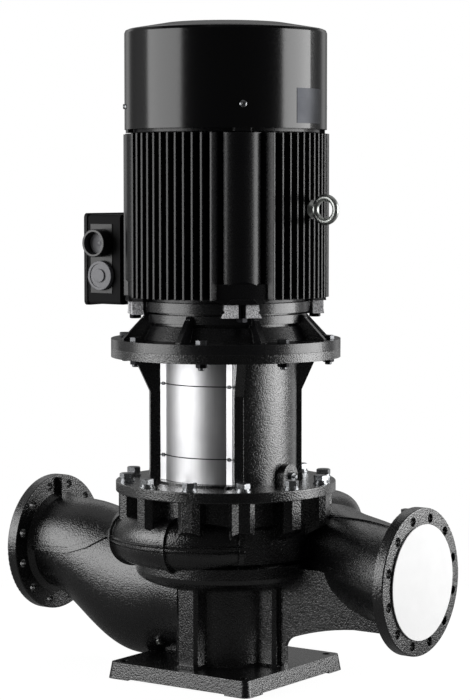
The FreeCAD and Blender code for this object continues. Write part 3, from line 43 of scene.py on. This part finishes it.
def linearColour(code):
    # sRGB hex to the linear numbers a shader takes
    shares = [int(code[i:i + 2], 16) / 255 for i in (1, 3, 5)]
    linear = [c / 12.92 if c <= 0.04045 else ((c + 0.055) / 1.055) ** 2.4 for c in shares]
    return linear + [1.0]


def perMetre(size):
    # a pattern's scale from the size of one of its features in millimetres
    return 1.0 / (size * millimetre)


def addNode(tree, kind, settings=None, inputs=None):
    # each input takes a number, a colour or another node's output
    node = tree.nodes.new(kind)
    for name, value in (settings or {}).items():
        setattr(node, name, value)
    for name, value in (inputs or {}).items():
        if isinstance(value, bpy.types.NodeSocket):
            tree.links.new(value, node.inputs[name])
        else:
            node.inputs[name].default_value = value
    return node


def findNode(tree, kind):
    return next(node for node in tree.nodes if node.type == kind)


def startMaterial(name, values):
    # an empty material with its shader, and where the surface is on the object
    material = bpy.data.materials.new(name)
    material.use_nodes = True
    tree = material.node_tree
    tree.nodes.clear()
    shader = addNode(tree, "ShaderNodeBsdfPrincipled", None, values)
    addNode(tree, "ShaderNodeOutputMaterial", None, {"Surface": shader.outputs["BSDF"]})
    place = addNode(tree, "ShaderNodeTexCoord").outputs["Object"]
    return material, tree, shader, place


# nearly all of a noise lies between these
noiseSpan = (0.3, 0.7)
# the size in millimetres of the broad patches in which each finish drifts between its two colours
patchSize = {"enamel": 120.0, "metal": 55.0, "moulding": 40.0}


def dressShader(tree, shader, look, colour, marks, height):
    # every finish ends alike: its colour, its marks as changes of gloss, and its relief. Cast, moulded and
    # painted edges are never sharp, and the Bevel node rounds how they catch the light
    rough = addNode(tree, "ShaderNodeMapRange", None,
                    {"Value": marks, "From Min": noiseSpan[0], "From Max": noiseSpan[1],
                     "To Min": look["rough"][0], "To Max": look["rough"][1]})
    edges = addNode(tree, "ShaderNodeBevel", {"samples": 4}, {"Radius": look["edge"] * millimetre})
    bump = addNode(tree, "ShaderNodeBump", None,
                   {"Strength": 1.0, "Distance": look["depth"] * millimetre, "Height": height,
                    "Normal": edges.outputs["Normal"]})
    tree.links.new(colour, shader.inputs["Base Color"])
    tree.links.new(rough.outputs["Result"], shader.inputs["Roughness"])
    tree.links.new(bump.outputs["Normal"], shader.inputs["Normal"])
    return bump.outputs["Normal"]


def layOver(tree, shader, where, rough, colour=None):
    # a second finish on part of a surface: where is 1 on that part and 0 on the rest
    roughMix = addNode(tree, "ShaderNodeMix", {"data_type": "FLOAT"},
                       {mixFactor: where, numberA: shader.inputs["Roughness"].links[0].from_socket,
                        numberB: rough})
    tree.links.new(roughMix.outputs[numberOut], shader.inputs["Roughness"])
    if colour is not None:
        colourMix = addNode(tree, "ShaderNodeMix", {"data_type": "RGBA"},
                            {mixFactor: where, colourA: shader.inputs["Base Color"].links[0].from_socket,
                             colourB: colour})
        tree.links.new(colourMix.outputs[colourOut], shader.inputs["Base Color"])


def reachFromAxis(tree, place):
    # how far the surface is from the shaft's line, in metres
    flat = addNode(tree, "ShaderNodeVectorMath", {"operation": "MULTIPLY"}, {0: place, 1: (1.0, 1.0, 0.0)})
    reach = addNode(tree, "ShaderNodeVectorMath", {"operation": "LENGTH"}, {0: flat.outputs["Vector"]})
    return reach.outputs["Value"]


# sizes in millimetres: share is how far the sand's grain outweighs its lumps, and edge how much is rounded.
# The real grain is under one, and is drawn about three times as coarse, or it would be too fine to show
enamel = {
    # a coarse sand-cast skin that shines in small sparks
    "casting": {"dark": "#050506", "pale": "#0b0b0c", "rough": (0.22, 0.34), "lumps": 14.0, "grain": 3.3,
                "share": 0.85, "depth": 1.15, "edge": 1.5, "ior": 1.5, "coat": 0.85, "coatRough": 0.11},
    # the endshield is partly turned, so its skin is shallower
    "turnedCasting": {"dark": "#070708", "pale": "#0e0e10", "rough": (0.24, 0.34), "lumps": 14.0,
                      "grain": 2.8, "share": 0.7, "depth": 0.45, "edge": 1.4, "ior": 1.5, "coat": 0.35,
                      "coatRough": 0.12},
    # the finned frame comes smooth from its mould, with well rounded fins
    "machineCasting": {"dark": "#070708", "pale": "#0e0e10", "rough": (0.24, 0.34), "lumps": 30.0,
                       "grain": 2.8, "share": 0.6, "depth": 0.16, "edge": 2.8, "ior": 1.42, "coat": 0.0,
                       "coatRough": 0.1},
    # the terminal box shines where it is milled
    "boxCasting": {"dark": "#060607", "pale": "#0d0d0f", "rough": (0.26, 0.34), "lumps": 26.0, "grain": 2.4,
                   "share": 0.7, "depth": 0.14, "edge": 1.6, "ior": 1.4, "coat": 0.0, "coatRough": 0.1},
    # its lid is left dull
    "lidCasting": {"dark": "#060607", "pale": "#0d0d0f", "rough": (0.6, 0.75), "lumps": 26.0, "grain": 2.4,
                   "share": 0.7, "depth": 0.14, "edge": 1.2, "ior": 1.4, "coat": 0.0, "coatRough": 0.1},
    # pressed sheet is nearly a mirror
    "sheet": {"dark": "#060607", "pale": "#09090a", "rough": (0.15, 0.2), "lumps": 90.0, "grain": 4.0,
              "share": 0.5, "depth": 0.05, "edge": 1.5, "ior": 1.48, "coat": 0.0, "coatRough": 0.03},
}


def blackEnamel(name, kind):
    # black stoving enamel follows the sand's lumps and grain, and its pigment drifts a little
    look = enamel[kind]
    material, tree, shader, place = startMaterial(name, {
        "IOR": look["ior"], "Metallic": 0.0,
        "Coat Weight": look["coat"], "Coat Roughness": look["coatRough"]})
    patches = addNode(tree, "ShaderNodeTexNoise", None,
                      {"Vector": place, "Scale": perMetre(patchSize["enamel"]), "Detail": 3.0,
                       "Roughness": 0.55})
    lumps = addNode(tree, "ShaderNodeTexNoise", None,
                    {"Vector": place, "Scale": perMetre(look["lumps"]), "Detail": 2.0, "Roughness": 0.5})
    grain = addNode(tree, "ShaderNodeTexNoise", None,
                    {"Vector": place, "Scale": perMetre(look["grain"]), "Detail": 1.5, "Roughness": 0.6})
    colour = addNode(tree, "ShaderNodeMix", {"data_type": "RGBA"},
                     {mixFactor: patches.outputs["Fac"], colourA: linearColour(look["dark"]),
                      colourB: linearColour(look["pale"])})
    sand = addNode(tree, "ShaderNodeMix", {"data_type": "FLOAT"},
                   {mixFactor: look["share"], numberA: lumps.outputs["Fac"], numberB: grain.outputs["Fac"]})
    relief = dressShader(tree, shader, look, colour.outputs[colourOut], grain.outputs["Fac"],
                         sand.outputs[numberOut])
    tree.links.new(relief, shader.inputs["Coat Normal"])
    return material


# where the mould's halves met, a double ridge runs along the volute's solid bead, drawn about twice as high
# as it is, so that it shows. The volute's outline from above is a spiral: start + growth * degrees ** power,
# in metres, by the degrees swept back from the tongue's bearing
voluteBead = {"level": 0.335, "apart": 0.0056, "halfWidth": 0.0038, "rise": 4.0, "tongue": -30.0,
              "start": 0.19, "growth": 0.0053, "power": 0.6, "within": 0.014,
              "middleSweep": 146.0, "halfSweep": 134.0}


def raiseBead(material):
    tree = material.node_tree
    bump = findNode(tree, "BUMP")
    place = findNode(tree, "TEX_COORD").outputs["Object"]
    axes = addNode(tree, "ShaderNodeSeparateXYZ", None, {"Vector": place}).outputs
    bearing = addNode(tree, "ShaderNodeMath", {"operation": "ARCTAN2"}, {0: axes["Y"], 1: axes["X"]})
    turned = addNode(tree, "ShaderNodeMath", {"operation": "SUBTRACT"},
                     {0: math.radians(voluteBead["tongue"]), 1: bearing.outputs[0]})
    swept = addNode(tree, "ShaderNodeMath", {"operation": "WRAP"},
                    {0: turned.outputs[0], 1: 2 * math.pi, 2: 0.0})
    degrees = addNode(tree, "ShaderNodeMath", {"operation": "DEGREES"}, {0: swept.outputs[0]})
    grown = addNode(tree, "ShaderNodeMath", {"operation": "POWER"},
                    {0: degrees.outputs[0], 1: voluteBead["power"]})
    outline = addNode(tree, "ShaderNodeMath", {"operation": "MULTIPLY_ADD"},
                      {0: grown.outputs[0], 1: voluteBead["growth"], 2: voluteBead["start"]})
    onVolute = addNode(tree, "ShaderNodeMath", {"operation": "COMPARE"},
                       {0: reachFromAxis(tree, place), 1: outline.outputs[0], 2: voluteBead["within"]})
    alongVolute = addNode(tree, "ShaderNodeMath", {"operation": "COMPARE"},
                          {0: degrees.outputs[0], 1: voluteBead["middleSweep"], 2: voluteBead["halfSweep"]})
    beaded = addNode(tree, "ShaderNodeMath", {"operation": "MULTIPLY"},
                     {0: onVolute.outputs[0], 1: alongVolute.outputs[0]})
    above = addNode(tree, "ShaderNodeMath", {"operation": "SUBTRACT"}, {0: axes["Z"], 1: voluteBead["level"]})
    fromMiddle = addNode(tree, "ShaderNodeMath", {"operation": "ABSOLUTE"}, {0: above.outputs[0]})
    fromRidge = addNode(tree, "ShaderNodeMath", {"operation": "SUBTRACT"},
                        {0: fromMiddle.outputs[0], 1: voluteBead["apart"]})
    nearness = addNode(tree, "ShaderNodeMath", {"operation": "ABSOLUTE"}, {0: fromRidge.outputs[0]})
    swell = addNode(tree, "ShaderNodeMapRange", {"interpolation_type": "SMOOTHSTEP"},
                    {"Value": nearness.outputs[0], "From Min": voluteBead["halfWidth"], "From Max": 0.0,
                     "To Min": 0.0, "To Max": voluteBead["rise"]})
    ridges = addNode(tree, "ShaderNodeMath", {"operation": "MULTIPLY"},
                     {0: swell.outputs["Result"], 1: beaded.outputs[0]})
    height = addNode(tree, "ShaderNodeMath", {"operation": "ADD"},
                     {0: bump.inputs["Height"].links[0].from_socket, 1: ridges.outputs[0]})
    tree.links.new(height.outputs[0], bump.inputs["Height"])
    return material


# the four ears under the motor's feet are drawn in pale grey flecks, with a duller gloss, over the black
# enamel.
# They are what lies beyond and above these metres on the endshield
paleFleckedEars = {"beyond": 0.2085, "above": 0.868, "dark": "#8c8c8f", "pale": "#efeff1", "fleck": 3.0,
               "fleckSpan": (0.36, 0.62), "rough": 0.55}


def fleckEars(material):
    tree = material.node_tree
    place = findNode(tree, "TEX_COORD").outputs["Object"]
    level = addNode(tree, "ShaderNodeSeparateXYZ", None, {"Vector": place}).outputs["Z"]
    outer = addNode(tree, "ShaderNodeMath", {"operation": "GREATER_THAN"},
                    {0: reachFromAxis(tree, place), 1: paleFleckedEars["beyond"]})
    upper = addNode(tree, "ShaderNodeMath", {"operation": "GREATER_THAN"},
                    {0: level, 1: paleFleckedEars["above"]})
    ears = addNode(tree, "ShaderNodeMath", {"operation": "MULTIPLY"},
                   {0: outer.outputs[0], 1: upper.outputs[0]})
    fleck = addNode(tree, "ShaderNodeTexNoise", None,
                    {"Vector": place, "Scale": perMetre(paleFleckedEars["fleck"]), "Detail": 2.0})
    spread = addNode(tree, "ShaderNodeMapRange", None,
                     {"Value": fleck.outputs["Fac"], "From Min": paleFleckedEars["fleckSpan"][0],
                      "From Max": paleFleckedEars["fleckSpan"][1]})
    # pale grey flecks laid over the ears' black enamel
    fleckColour = addNode(tree, "ShaderNodeMix", {"data_type": "RGBA"},
                   {mixFactor: spread.outputs["Result"], colourA: linearColour(paleFleckedEars["dark"]),
                    colourB: linearColour(paleFleckedEars["pale"])})
    layOver(tree, findNode(tree, "BSDF_PRINCIPLED"), ears.outputs[0], paleFleckedEars["rough"],
            fleckColour.outputs[colourOut])
    return material


# the plate round the box's cable entries is milled and shines, and the walls behind this face stay dull
entryPlate = {"face": -0.1092, "wallRough": 0.85}


def dullWalls(material):
    tree = material.node_tree
    place = findNode(tree, "TEX_COORD").outputs["Object"]
    across = addNode(tree, "ShaderNodeSeparateXYZ", None, {"Vector": place}).outputs["Y"]
    walls = addNode(tree, "ShaderNodeMath", {"operation": "GREATER_THAN"}, {0: across, 1: entryPlate["face"]})
    layOver(tree, findNode(tree, "BSDF_PRINCIPLED"), walls.outputs[0], entryPlate["wallRough"])
    return material


# streak is the size of one mark along each axis, and depth its relief, in millimetres
metal = {
    # rolled sheet: a soft, even shine with long faint marks
    "rolledStainless": {"dark": "#c4c4c6", "pale": "#d2d2d3", "rough": (0.38, 0.46),
                        "streak": (1.2, 1.2, 240.0), "depth": 0.01, "edge": 0.4},
    # zinc plate: bright and a little cloudy
    "brightZinc": {"dark": "#8f9194", "pale": "#adafb1", "rough": (0.24, 0.38), "streak": (3.0, 3.0, 3.0),
                   "depth": 0.06, "edge": 0.9},
    # phosphated and oiled: dark grey with a low sheen
    "phosphatedSteel": {"dark": "#4c4d4f", "pale": "#6d6e70", "rough": (0.32, 0.46),
                        "streak": (3.0, 3.0, 3.0), "depth": 0.06, "edge": 0.9},
    # dipped in zinc: thick, pale and lumpy
    "hotDipZinc": {"dark": "#a9aca9", "pale": "#c6c9c5", "rough": (0.3, 0.46), "streak": (6.0, 6.0, 6.0),
                   "depth": 0.25, "edge": 1.0},
    # ground and turned: fine marks round the shaft
    "groundSteel": {"dark": "#8f9194", "pale": "#b4b6b9", "rough": (0.18, 0.3), "streak": (120.0, 120.0, 1.6),
                    "depth": 0.02, "edge": 0.5},
    # stacked sheets: thin level lines
    "laminatedSteel": {"dark": "#55575a", "pale": "#8a8c8f", "rough": (0.35, 0.5),
                       "streak": (200.0, 200.0, 2.0), "depth": 0.15, "edge": 0.4},
    # turned brass: warm and bright
    "barrelBrass": {"dark": "#a5823c", "pale": "#c6a55b", "rough": (0.22, 0.36), "streak": (2.0, 2.0, 2.0),
                    "depth": 0.03, "edge": 0.4},
    # black oxide: nearly black, with steel's shine
    "blackOxideSteel": {"dark": "#121213", "pale": "#262628", "rough": (0.3, 0.45), "streak": (3.0, 3.0, 3.0),
                        "depth": 0.05, "edge": 0.6},
    # lacquered wire: lies in level turns
    "windingCopper": {"dark": "#8a4524", "pale": "#b9673a", "rough": (0.28, 0.42),
                      "streak": (60.0, 60.0, 2.4), "depth": 0.5, "edge": 0.8},
    # dark anodised plate: brushed level and then dyed
    "darkAnodised": {"dark": "#2a2b2e", "pale": "#36373a", "rough": (0.3, 0.4), "streak": (80.0, 80.0, 0.8),
                     "depth": 0.01, "edge": 0.3},
}
# two noises multiplied lie lower than one, nearly all between these
stainSpan = (0.12, 0.4)


def bareMetal(name):
    # rolled, turned and plated metal differ in colour and in which way their marks run
    look = metal[name]
    material, tree, shader, place = startMaterial(name, {"Metallic": 1.0})
    stretch = addNode(tree, "ShaderNodeMapping", None,
                      {"Vector": place, "Scale": [perMetre(size) for size in look["streak"]]})
    marks = addNode(tree, "ShaderNodeTexNoise", None,
                    {"Vector": stretch.outputs["Vector"], "Scale": 1.0, "Detail": 3.0, "Roughness": 0.6})
    tint = addNode(tree, "ShaderNodeTexNoise", None,
                    {"Vector": place, "Scale": perMetre(patchSize["metal"]), "Detail": 3.0})
    stained = addNode(tree, "ShaderNodeMath", {"operation": "MULTIPLY"},
                      {0: marks.outputs["Fac"], 1: tint.outputs["Fac"]})
    spread = addNode(tree, "ShaderNodeMapRange", None,
                     {"Value": stained.outputs[0], "From Min": stainSpan[0], "From Max": stainSpan[1]})
    colour = addNode(tree, "ShaderNodeMix", {"data_type": "RGBA"},
                     {mixFactor: spread.outputs["Result"], colourA: linearColour(look["dark"]),
                      colourB: linearColour(look["pale"])})
    dressShader(tree, shader, look, colour.outputs[colourOut], marks.outputs["Fac"], marks.outputs["Fac"])
    return material


# painted shade: the guard's two rolled grooves are drawn as dark, dull lines at these levels in metres
guardGrooves = {"levels": (0.5385, 0.709), "halfWidth": 0.0013, "tint": "#2e2e30", "rough": 0.6}


def shadeGrooves(material):
    tree = material.node_tree
    place = findNode(tree, "TEX_COORD").outputs["Object"]
    height = addNode(tree, "ShaderNodeSeparateXYZ", None, {"Vector": place}).outputs["Z"]
    lower, upper = [addNode(tree, "ShaderNodeMath", {"operation": "COMPARE"},
                            {0: height, 1: level, 2: guardGrooves["halfWidth"]}).outputs[0]
                    for level in guardGrooves["levels"]]
    grooves = addNode(tree, "ShaderNodeMath", {"operation": "ADD"}, {0: lower, 1: upper})
    # painted shade of the two grooves: a dark tint with a duller gloss
    layOver(tree, findNode(tree, "BSDF_PRINCIPLED"), grooves.outputs[0], guardGrooves["rough"],
            linearColour(guardGrooves["tint"]))
    return material


moulded = {
    # glass-filled nylon: matt, with fibres just under the skin
    "glassFilledNylon": {"dark": "#121213", "pale": "#1b1b1d", "rough": (0.42, 0.56), "grain": 1.6,
                         "depth": 0.05, "edge": 0.6},
    # plain nylon from a polished mould: glossy
    "glossNylon": {"dark": "#0c0c0d", "pale": "#121214", "rough": (0.2, 0.3), "grain": 3.0, "depth": 0.03,
                   "edge": 0.6},
    # the same in mid grey: satin
    "paleNylon": {"dark": "#5a5a5e", "pale": "#6c6c70", "rough": (0.34, 0.44), "grain": 2.4, "depth": 0.03,
                  "edge": 0.6},
    # rubber: dull and soft
    "nitrileRubber": {"dark": "#131312", "pale": "#1e1e1d", "rough": (0.6, 0.75), "grain": 1.2,
                      "depth": 0.08, "edge": 0.6},
    # lapped carbon: smooth, with a dark shine
    "carbonGraphite": {"dark": "#1b1b1c", "pale": "#2a2a2b", "rough": (0.25, 0.35), "grain": 1.5,
                       "depth": 0.01, "edge": 0.6},
    # pressed resin board: brown and smooth
    "phenolicBoard": {"dark": "#33180e", "pale": "#48241a", "rough": (0.3, 0.42), "grain": 2.0,
                      "depth": 0.04, "edge": 0.6},
    # moulded polythene: white, waxy and faintly wavy
    "whitePolythene": {"dark": "#ececec", "pale": "#f4f4f4", "rough": (0.42, 0.5), "grain": 14.0,
                       "depth": 0.06, "edge": 0.6},
    # unpainted grey iron: rough and brownish grey
    "bareGreyIron": {"dark": "#46423e", "pale": "#6a655f", "rough": (0.5, 0.7), "grain": 2.6, "depth": 0.3,
                     "edge": 0.6},
}


def mouldedSurface(name):
    # plastics, rubber and raw cast surfaces: an even colour, broken by the fine texture of the mould
    look = moulded[name]
    material, tree, shader, place = startMaterial(name, {"IOR": 1.48, "Metallic": 0.0})
    cloud = addNode(tree, "ShaderNodeTexNoise", None,
                    {"Vector": place, "Scale": perMetre(patchSize["moulding"]), "Detail": 2.0})
    grain = addNode(tree, "ShaderNodeTexNoise", None,
                    {"Vector": place, "Scale": perMetre(look["grain"]), "Detail": 3.0, "Roughness": 0.6})
    colour = addNode(tree, "ShaderNodeMix", {"data_type": "RGBA"},
                     {mixFactor: cloud.outputs["Fac"], colourA: linearColour(look["dark"]),
                      colourB: linearColour(look["pale"])})
    dressShader(tree, shader, look, colour.outputs[colourOut], grain.outputs["Fac"], grain.outputs["Fac"])
    return material


plugNylon = mouldedSurface("paleNylon")
finishes = [
    (raiseBead(blackEnamel("enamelOnCasting", "casting")), ["pump_casing", "lantern", "seal_cover"]),
    (fleckEars(blackEnamel("enamelOnEndshield", "turnedCasting")), ["drive_endshield"]),
    (blackEnamel("enamelOnMotor", "machineCasting"), ["motor_frame", "rear_endshield"]),
    (dullWalls(blackEnamel("enamelOnBox", "boxCasting")), ["terminal_box"]),
    (blackEnamel("enamelOnLid", "lidCasting"), ["box_lid"]),
    (blackEnamel("enamelOnSheet", "sheet"), ["fan_cowl"]),
    (shadeGrooves(bareMetal("rolledStainless")), ["guard_front", "guard_rear"]),
    (bareMetal("brightZinc"), ["lantern_bolts", "lantern_washers", "vent_plug", "cowl_screws", "lid_screws"]),
    (bareMetal("phosphatedSteel"), ["motor_flange_bolts", "guard_screws"]),
    (bareMetal("hotDipZinc"), ["eyebolt", "drain_plug"]),
    (bareMetal("groundSteel"), ["impeller_nut", "pump_shaft", "motor_shaft", "fan_clip",
                                "coupling_half_front", "coupling_half_rear", "drive_bearing_outer",
                                "drive_bearing_inner", "fan_bearing_outer", "fan_bearing_inner"]),
    (bareMetal("laminatedSteel"), ["stator_core", "rotor_core"]),
    (bareMetal("barrelBrass"), ["casing_wear_ring", "terminal_studs"]),
    (bareMetal("blackOxideSteel"), ["flush_plug", "coupling_screws", "endshield_bolts", "motor_flange_nuts"]),
    (bareMetal("windingCopper"), ["stator_windings"]),
    (bareMetal("darkAnodised"), ["rating_plate"]),
    (mouldedSurface("glassFilledNylon"), ["cooling_fan"]),
    (mouldedSurface("glossNylon"), ["cable_gland", "gland_locknut"]),
    (plugNylon, ["entry_plug"]),
    (mouldedSurface("nitrileRubber"), ["cover_gasket", "seal_bellows", "box_gasket"]),
    (mouldedSurface("carbonGraphite"), ["seal_seat", "seal_ring"]),
    (mouldedSurface("phenolicBoard"), ["terminal_board"]),
    (mouldedSurface("whitePolythene"), ["discharge_cover"]),
    (mouldedSurface("bareGreyIron"), ["impeller", "drive_bearing_cap"]),
]
for material, nodes in finishes:
    for name in nodes:
        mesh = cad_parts[name].data
        mesh.materials.clear()
        mesh.materials.append(material)
print("finishes set on", sum(len(nodes) for _, nodes in finishes), "nodes")

# a dust disc closes the empty cable gland until a cable goes in: a dished moulding with a knob to pull it by.
# Edges sharper than roundOver are rounded, and the shading is smooth up to smoothUpTo, both in degrees
dustDisc = {"centre": (-0.2895, -0.1205, 1.04), "radius": 0.0271, "thick": 0.004, "sides": 72, "rim": 0.003,
            "dish": 0.0012, "knob": 0.0065, "knobRise": 0.0012, "edge": 0.0005, "edgeSteps": 2,
            "roundOver": 25.0, "smoothUpTo": 30.0}
floorToKnob = dustDisc["radius"] - dustDisc["rim"] - dustDisc["dish"] - dustDisc["knob"]
bpy.ops.object.select_all(action="DESELECT")
bpy.ops.mesh.primitive_cylinder_add(vertices=dustDisc["sides"], radius=dustDisc["radius"],
                                    depth=dustDisc["thick"], location=dustDisc["centre"],
                                    rotation=(math.radians(90.0), 0.0, 0.0))
disc = bpy.context.active_object
disc.name = "gland_dust_disc"
bpy.ops.object.transform_apply(location=True, rotation=True, scale=True)
bpy.ops.object.mode_set(mode="EDIT")
bpy.ops.mesh.select_mode(type="FACE")
bpy.ops.mesh.select_all(action="DESELECT")
bpy.ops.object.mode_set(mode="OBJECT")
for face in disc.data.polygons:
    face.select = face.normal.y < -0.9  # the front, which looks along -Y
bpy.ops.object.mode_set(mode="EDIT")
bpy.ops.mesh.inset(thickness=dustDisc["rim"], depth=0.0)
bpy.ops.mesh.inset(thickness=dustDisc["dish"], depth=-dustDisc["dish"])
bpy.ops.mesh.inset(thickness=floorToKnob, depth=0.0)
bpy.ops.mesh.inset(thickness=dustDisc["knobRise"], depth=dustDisc["knobRise"])
bpy.ops.object.mode_set(mode="OBJECT")
soften = disc.modifiers.new("soften", "BEVEL")
soften.width = dustDisc["edge"]
soften.segments = dustDisc["edgeSteps"]
soften.limit_method = "ANGLE"
soften.angle_limit = math.radians(dustDisc["roundOver"])
bpy.ops.object.modifier_apply(modifier=soften.name)
bpy.ops.object.shade_smooth_by_angle(angle=math.radians(dustDisc["smoothUpTo"]))
disc.data.materials.append(plugNylon)
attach(disc, "pump")
print("dust disc fitted")

# the photograph's camera: where it stands, its tilt and its turn in degrees, from the fit to the outlines
photoCamera = {"place": (3.2145, -4.5185, 1.1797), "tilt": 85.931, "turn": 35.2,
               "lens": 119.17, "sensor": 36.0}
lens = bpy.data.cameras.new("photoCamera")
lens.lens = photoCamera["lens"]
lens.sensor_width = photoCamera["sensor"]
camera = bpy.data.objects.new("photoCamera", lens)
camera.location = photoCamera["place"]
camera.rotation_euler = (math.radians(photoCamera["tilt"]), 0.0, math.radians(photoCamera["turn"]))
bpy.context.scene.collection.objects.link(camera)
bpy.context.scene.camera = camera
print("camera placed")

# two tall soft boxes beside the object and one above: each angle is from the camera's side, to the right, and
# power is the brightness of the box's face
softBoxes = {
    "leftBox": {"angle": -72.0, "away": 3.0, "height": 1.3, "wide": 2.5, "tall": 2.2, "power": 4.4},
    "rightBox": {"angle": 87.0, "away": 3.2, "height": 1.1, "wide": 2.5, "tall": 2.3, "power": 6.2},
    "topBox": {"angle": 10.0, "away": 0.6, "height": 4.2, "wide": 2.6, "tall": 2.6, "power": 0.35},
}
pumpMiddle = Vector((0.0, 0.0, 0.75))
for name, box in softBoxes.items():
    light = bpy.data.lights.new(name, "AREA")
    light.shape = "RECTANGLE"
    light.size = box["wide"]
    light.size_y = box["tall"]
    light.energy = box["power"] * math.pi * box["wide"] * box["tall"]  # watts that give that brightness
    bearing = math.radians(photoCamera["turn"] + box["angle"])
    lamp = bpy.data.objects.new(name, light)
    lamp.location = (box["away"] * math.sin(bearing), -box["away"] * math.cos(bearing), box["height"])
    lamp.rotation_euler = (lamp.location - pumpMiddle).to_track_quat("Z", "Y").to_euler()
    bpy.context.scene.collection.objects.link(lamp)
print("soft boxes lit")

# the room is white to the camera and fills the shadows a little. In reflections its brightness goes by the
# direction: 0 is level with the object's sides or nearer to the camera, and 1 is straight behind the object
room = {"fill": 0.2, "white": 1.0,
        "wall": {0.0: 0.03, 0.25: 0.36, 0.5: 0.28, 0.65: 0.18, 0.74: 0.28, 0.82: 0.75, 0.92: 0.32, 1.0: 0.14}}
world = bpy.data.worlds.new("studio")
world.use_nodes = True
bpy.context.scene.world = world
tree = world.node_tree
tree.nodes.clear()
heading = math.radians(photoCamera["turn"])
awayFromCamera = (-math.sin(heading), math.cos(heading), 0.0)
rays = addNode(tree, "ShaderNodeLightPath").outputs
direction = addNode(tree, "ShaderNodeTexCoord").outputs["Generated"]
behind = addNode(tree, "ShaderNodeVectorMath", {"operation": "DOT_PRODUCT"},
                 {0: direction, 1: awayFromCamera})
wall = addNode(tree, "ShaderNodeFloatCurve", None, {"Value": behind.outputs["Value"]})
curve = wall.mapping.curves[0]
stops = sorted(room["wall"].items())
curve.points[0].location = stops[0]
curve.points[1].location = stops[-1]
for stop in stops[1:-1]:
    curve.points.new(*stop)
wall.mapping.extend = "HORIZONTAL"
wall.mapping.update()
inReflections = addNode(tree, "ShaderNodeMix", {"data_type": "FLOAT"},
                        {mixFactor: rays["Is Glossy Ray"], numberA: room["fill"],
                         numberB: wall.outputs["Value"]})
seen = addNode(tree, "ShaderNodeMath", {"operation": "MAXIMUM"},
               {0: rays["Is Camera Ray"], 1: rays["Is Transmission Ray"]})
strength = addNode(tree, "ShaderNodeMix", {"data_type": "FLOAT"},
                   {mixFactor: seen.outputs[0], numberA: inReflections.outputs[numberOut],
                    numberB: room["white"]})
background = addNode(tree, "ShaderNodeBackground", None,
                     {"Color": white, "Strength": strength.outputs[numberOut]})
addNode(tree, "ShaderNodeOutputWorld", None, {"Surface": background.outputs["Background"]})

# a pale floor that takes a light shadow: to the camera, glow is the share that is plain white light
floorLook = {"size": 2.4, "colour": "#848484", "rough": 0.9, "glow": 0.5, "white": 1.9}
bpy.ops.object.select_all(action="DESELECT")
bpy.ops.mesh.primitive_plane_add(size=floorLook["size"], location=(0.0, 0.0, 0.0),
                                 rotation=(0.0, 0.0, heading))
floor = bpy.context.active_object
floor.name = "studioFloor"
material, tree, shader, _ = startMaterial("studioFloorPaint", {
    "Base Color": linearColour(floorLook["colour"]), "Roughness": floorLook["rough"],
    "Specular IOR Level": 0.0})
rays = addNode(tree, "ShaderNodeLightPath").outputs
seen = addNode(tree, "ShaderNodeMath", {"operation": "MULTIPLY"},
               {0: rays["Is Camera Ray"], 1: floorLook["glow"]})
glow = addNode(tree, "ShaderNodeEmission", None, {"Color": white, "Strength": floorLook["white"]})
lit = addNode(tree, "ShaderNodeMixShader", None,
              {0: seen.outputs[0], 1: shader.outputs["BSDF"], 2: glow.outputs["Emission"]})
tree.links.new(lit.outputs["Shader"], findNode(tree, "OUTPUT_MATERIAL").inputs["Surface"])
floor.data.materials.append(material)
print("floor laid")

bpy.context.scene.view_settings.view_transform = "Standard"
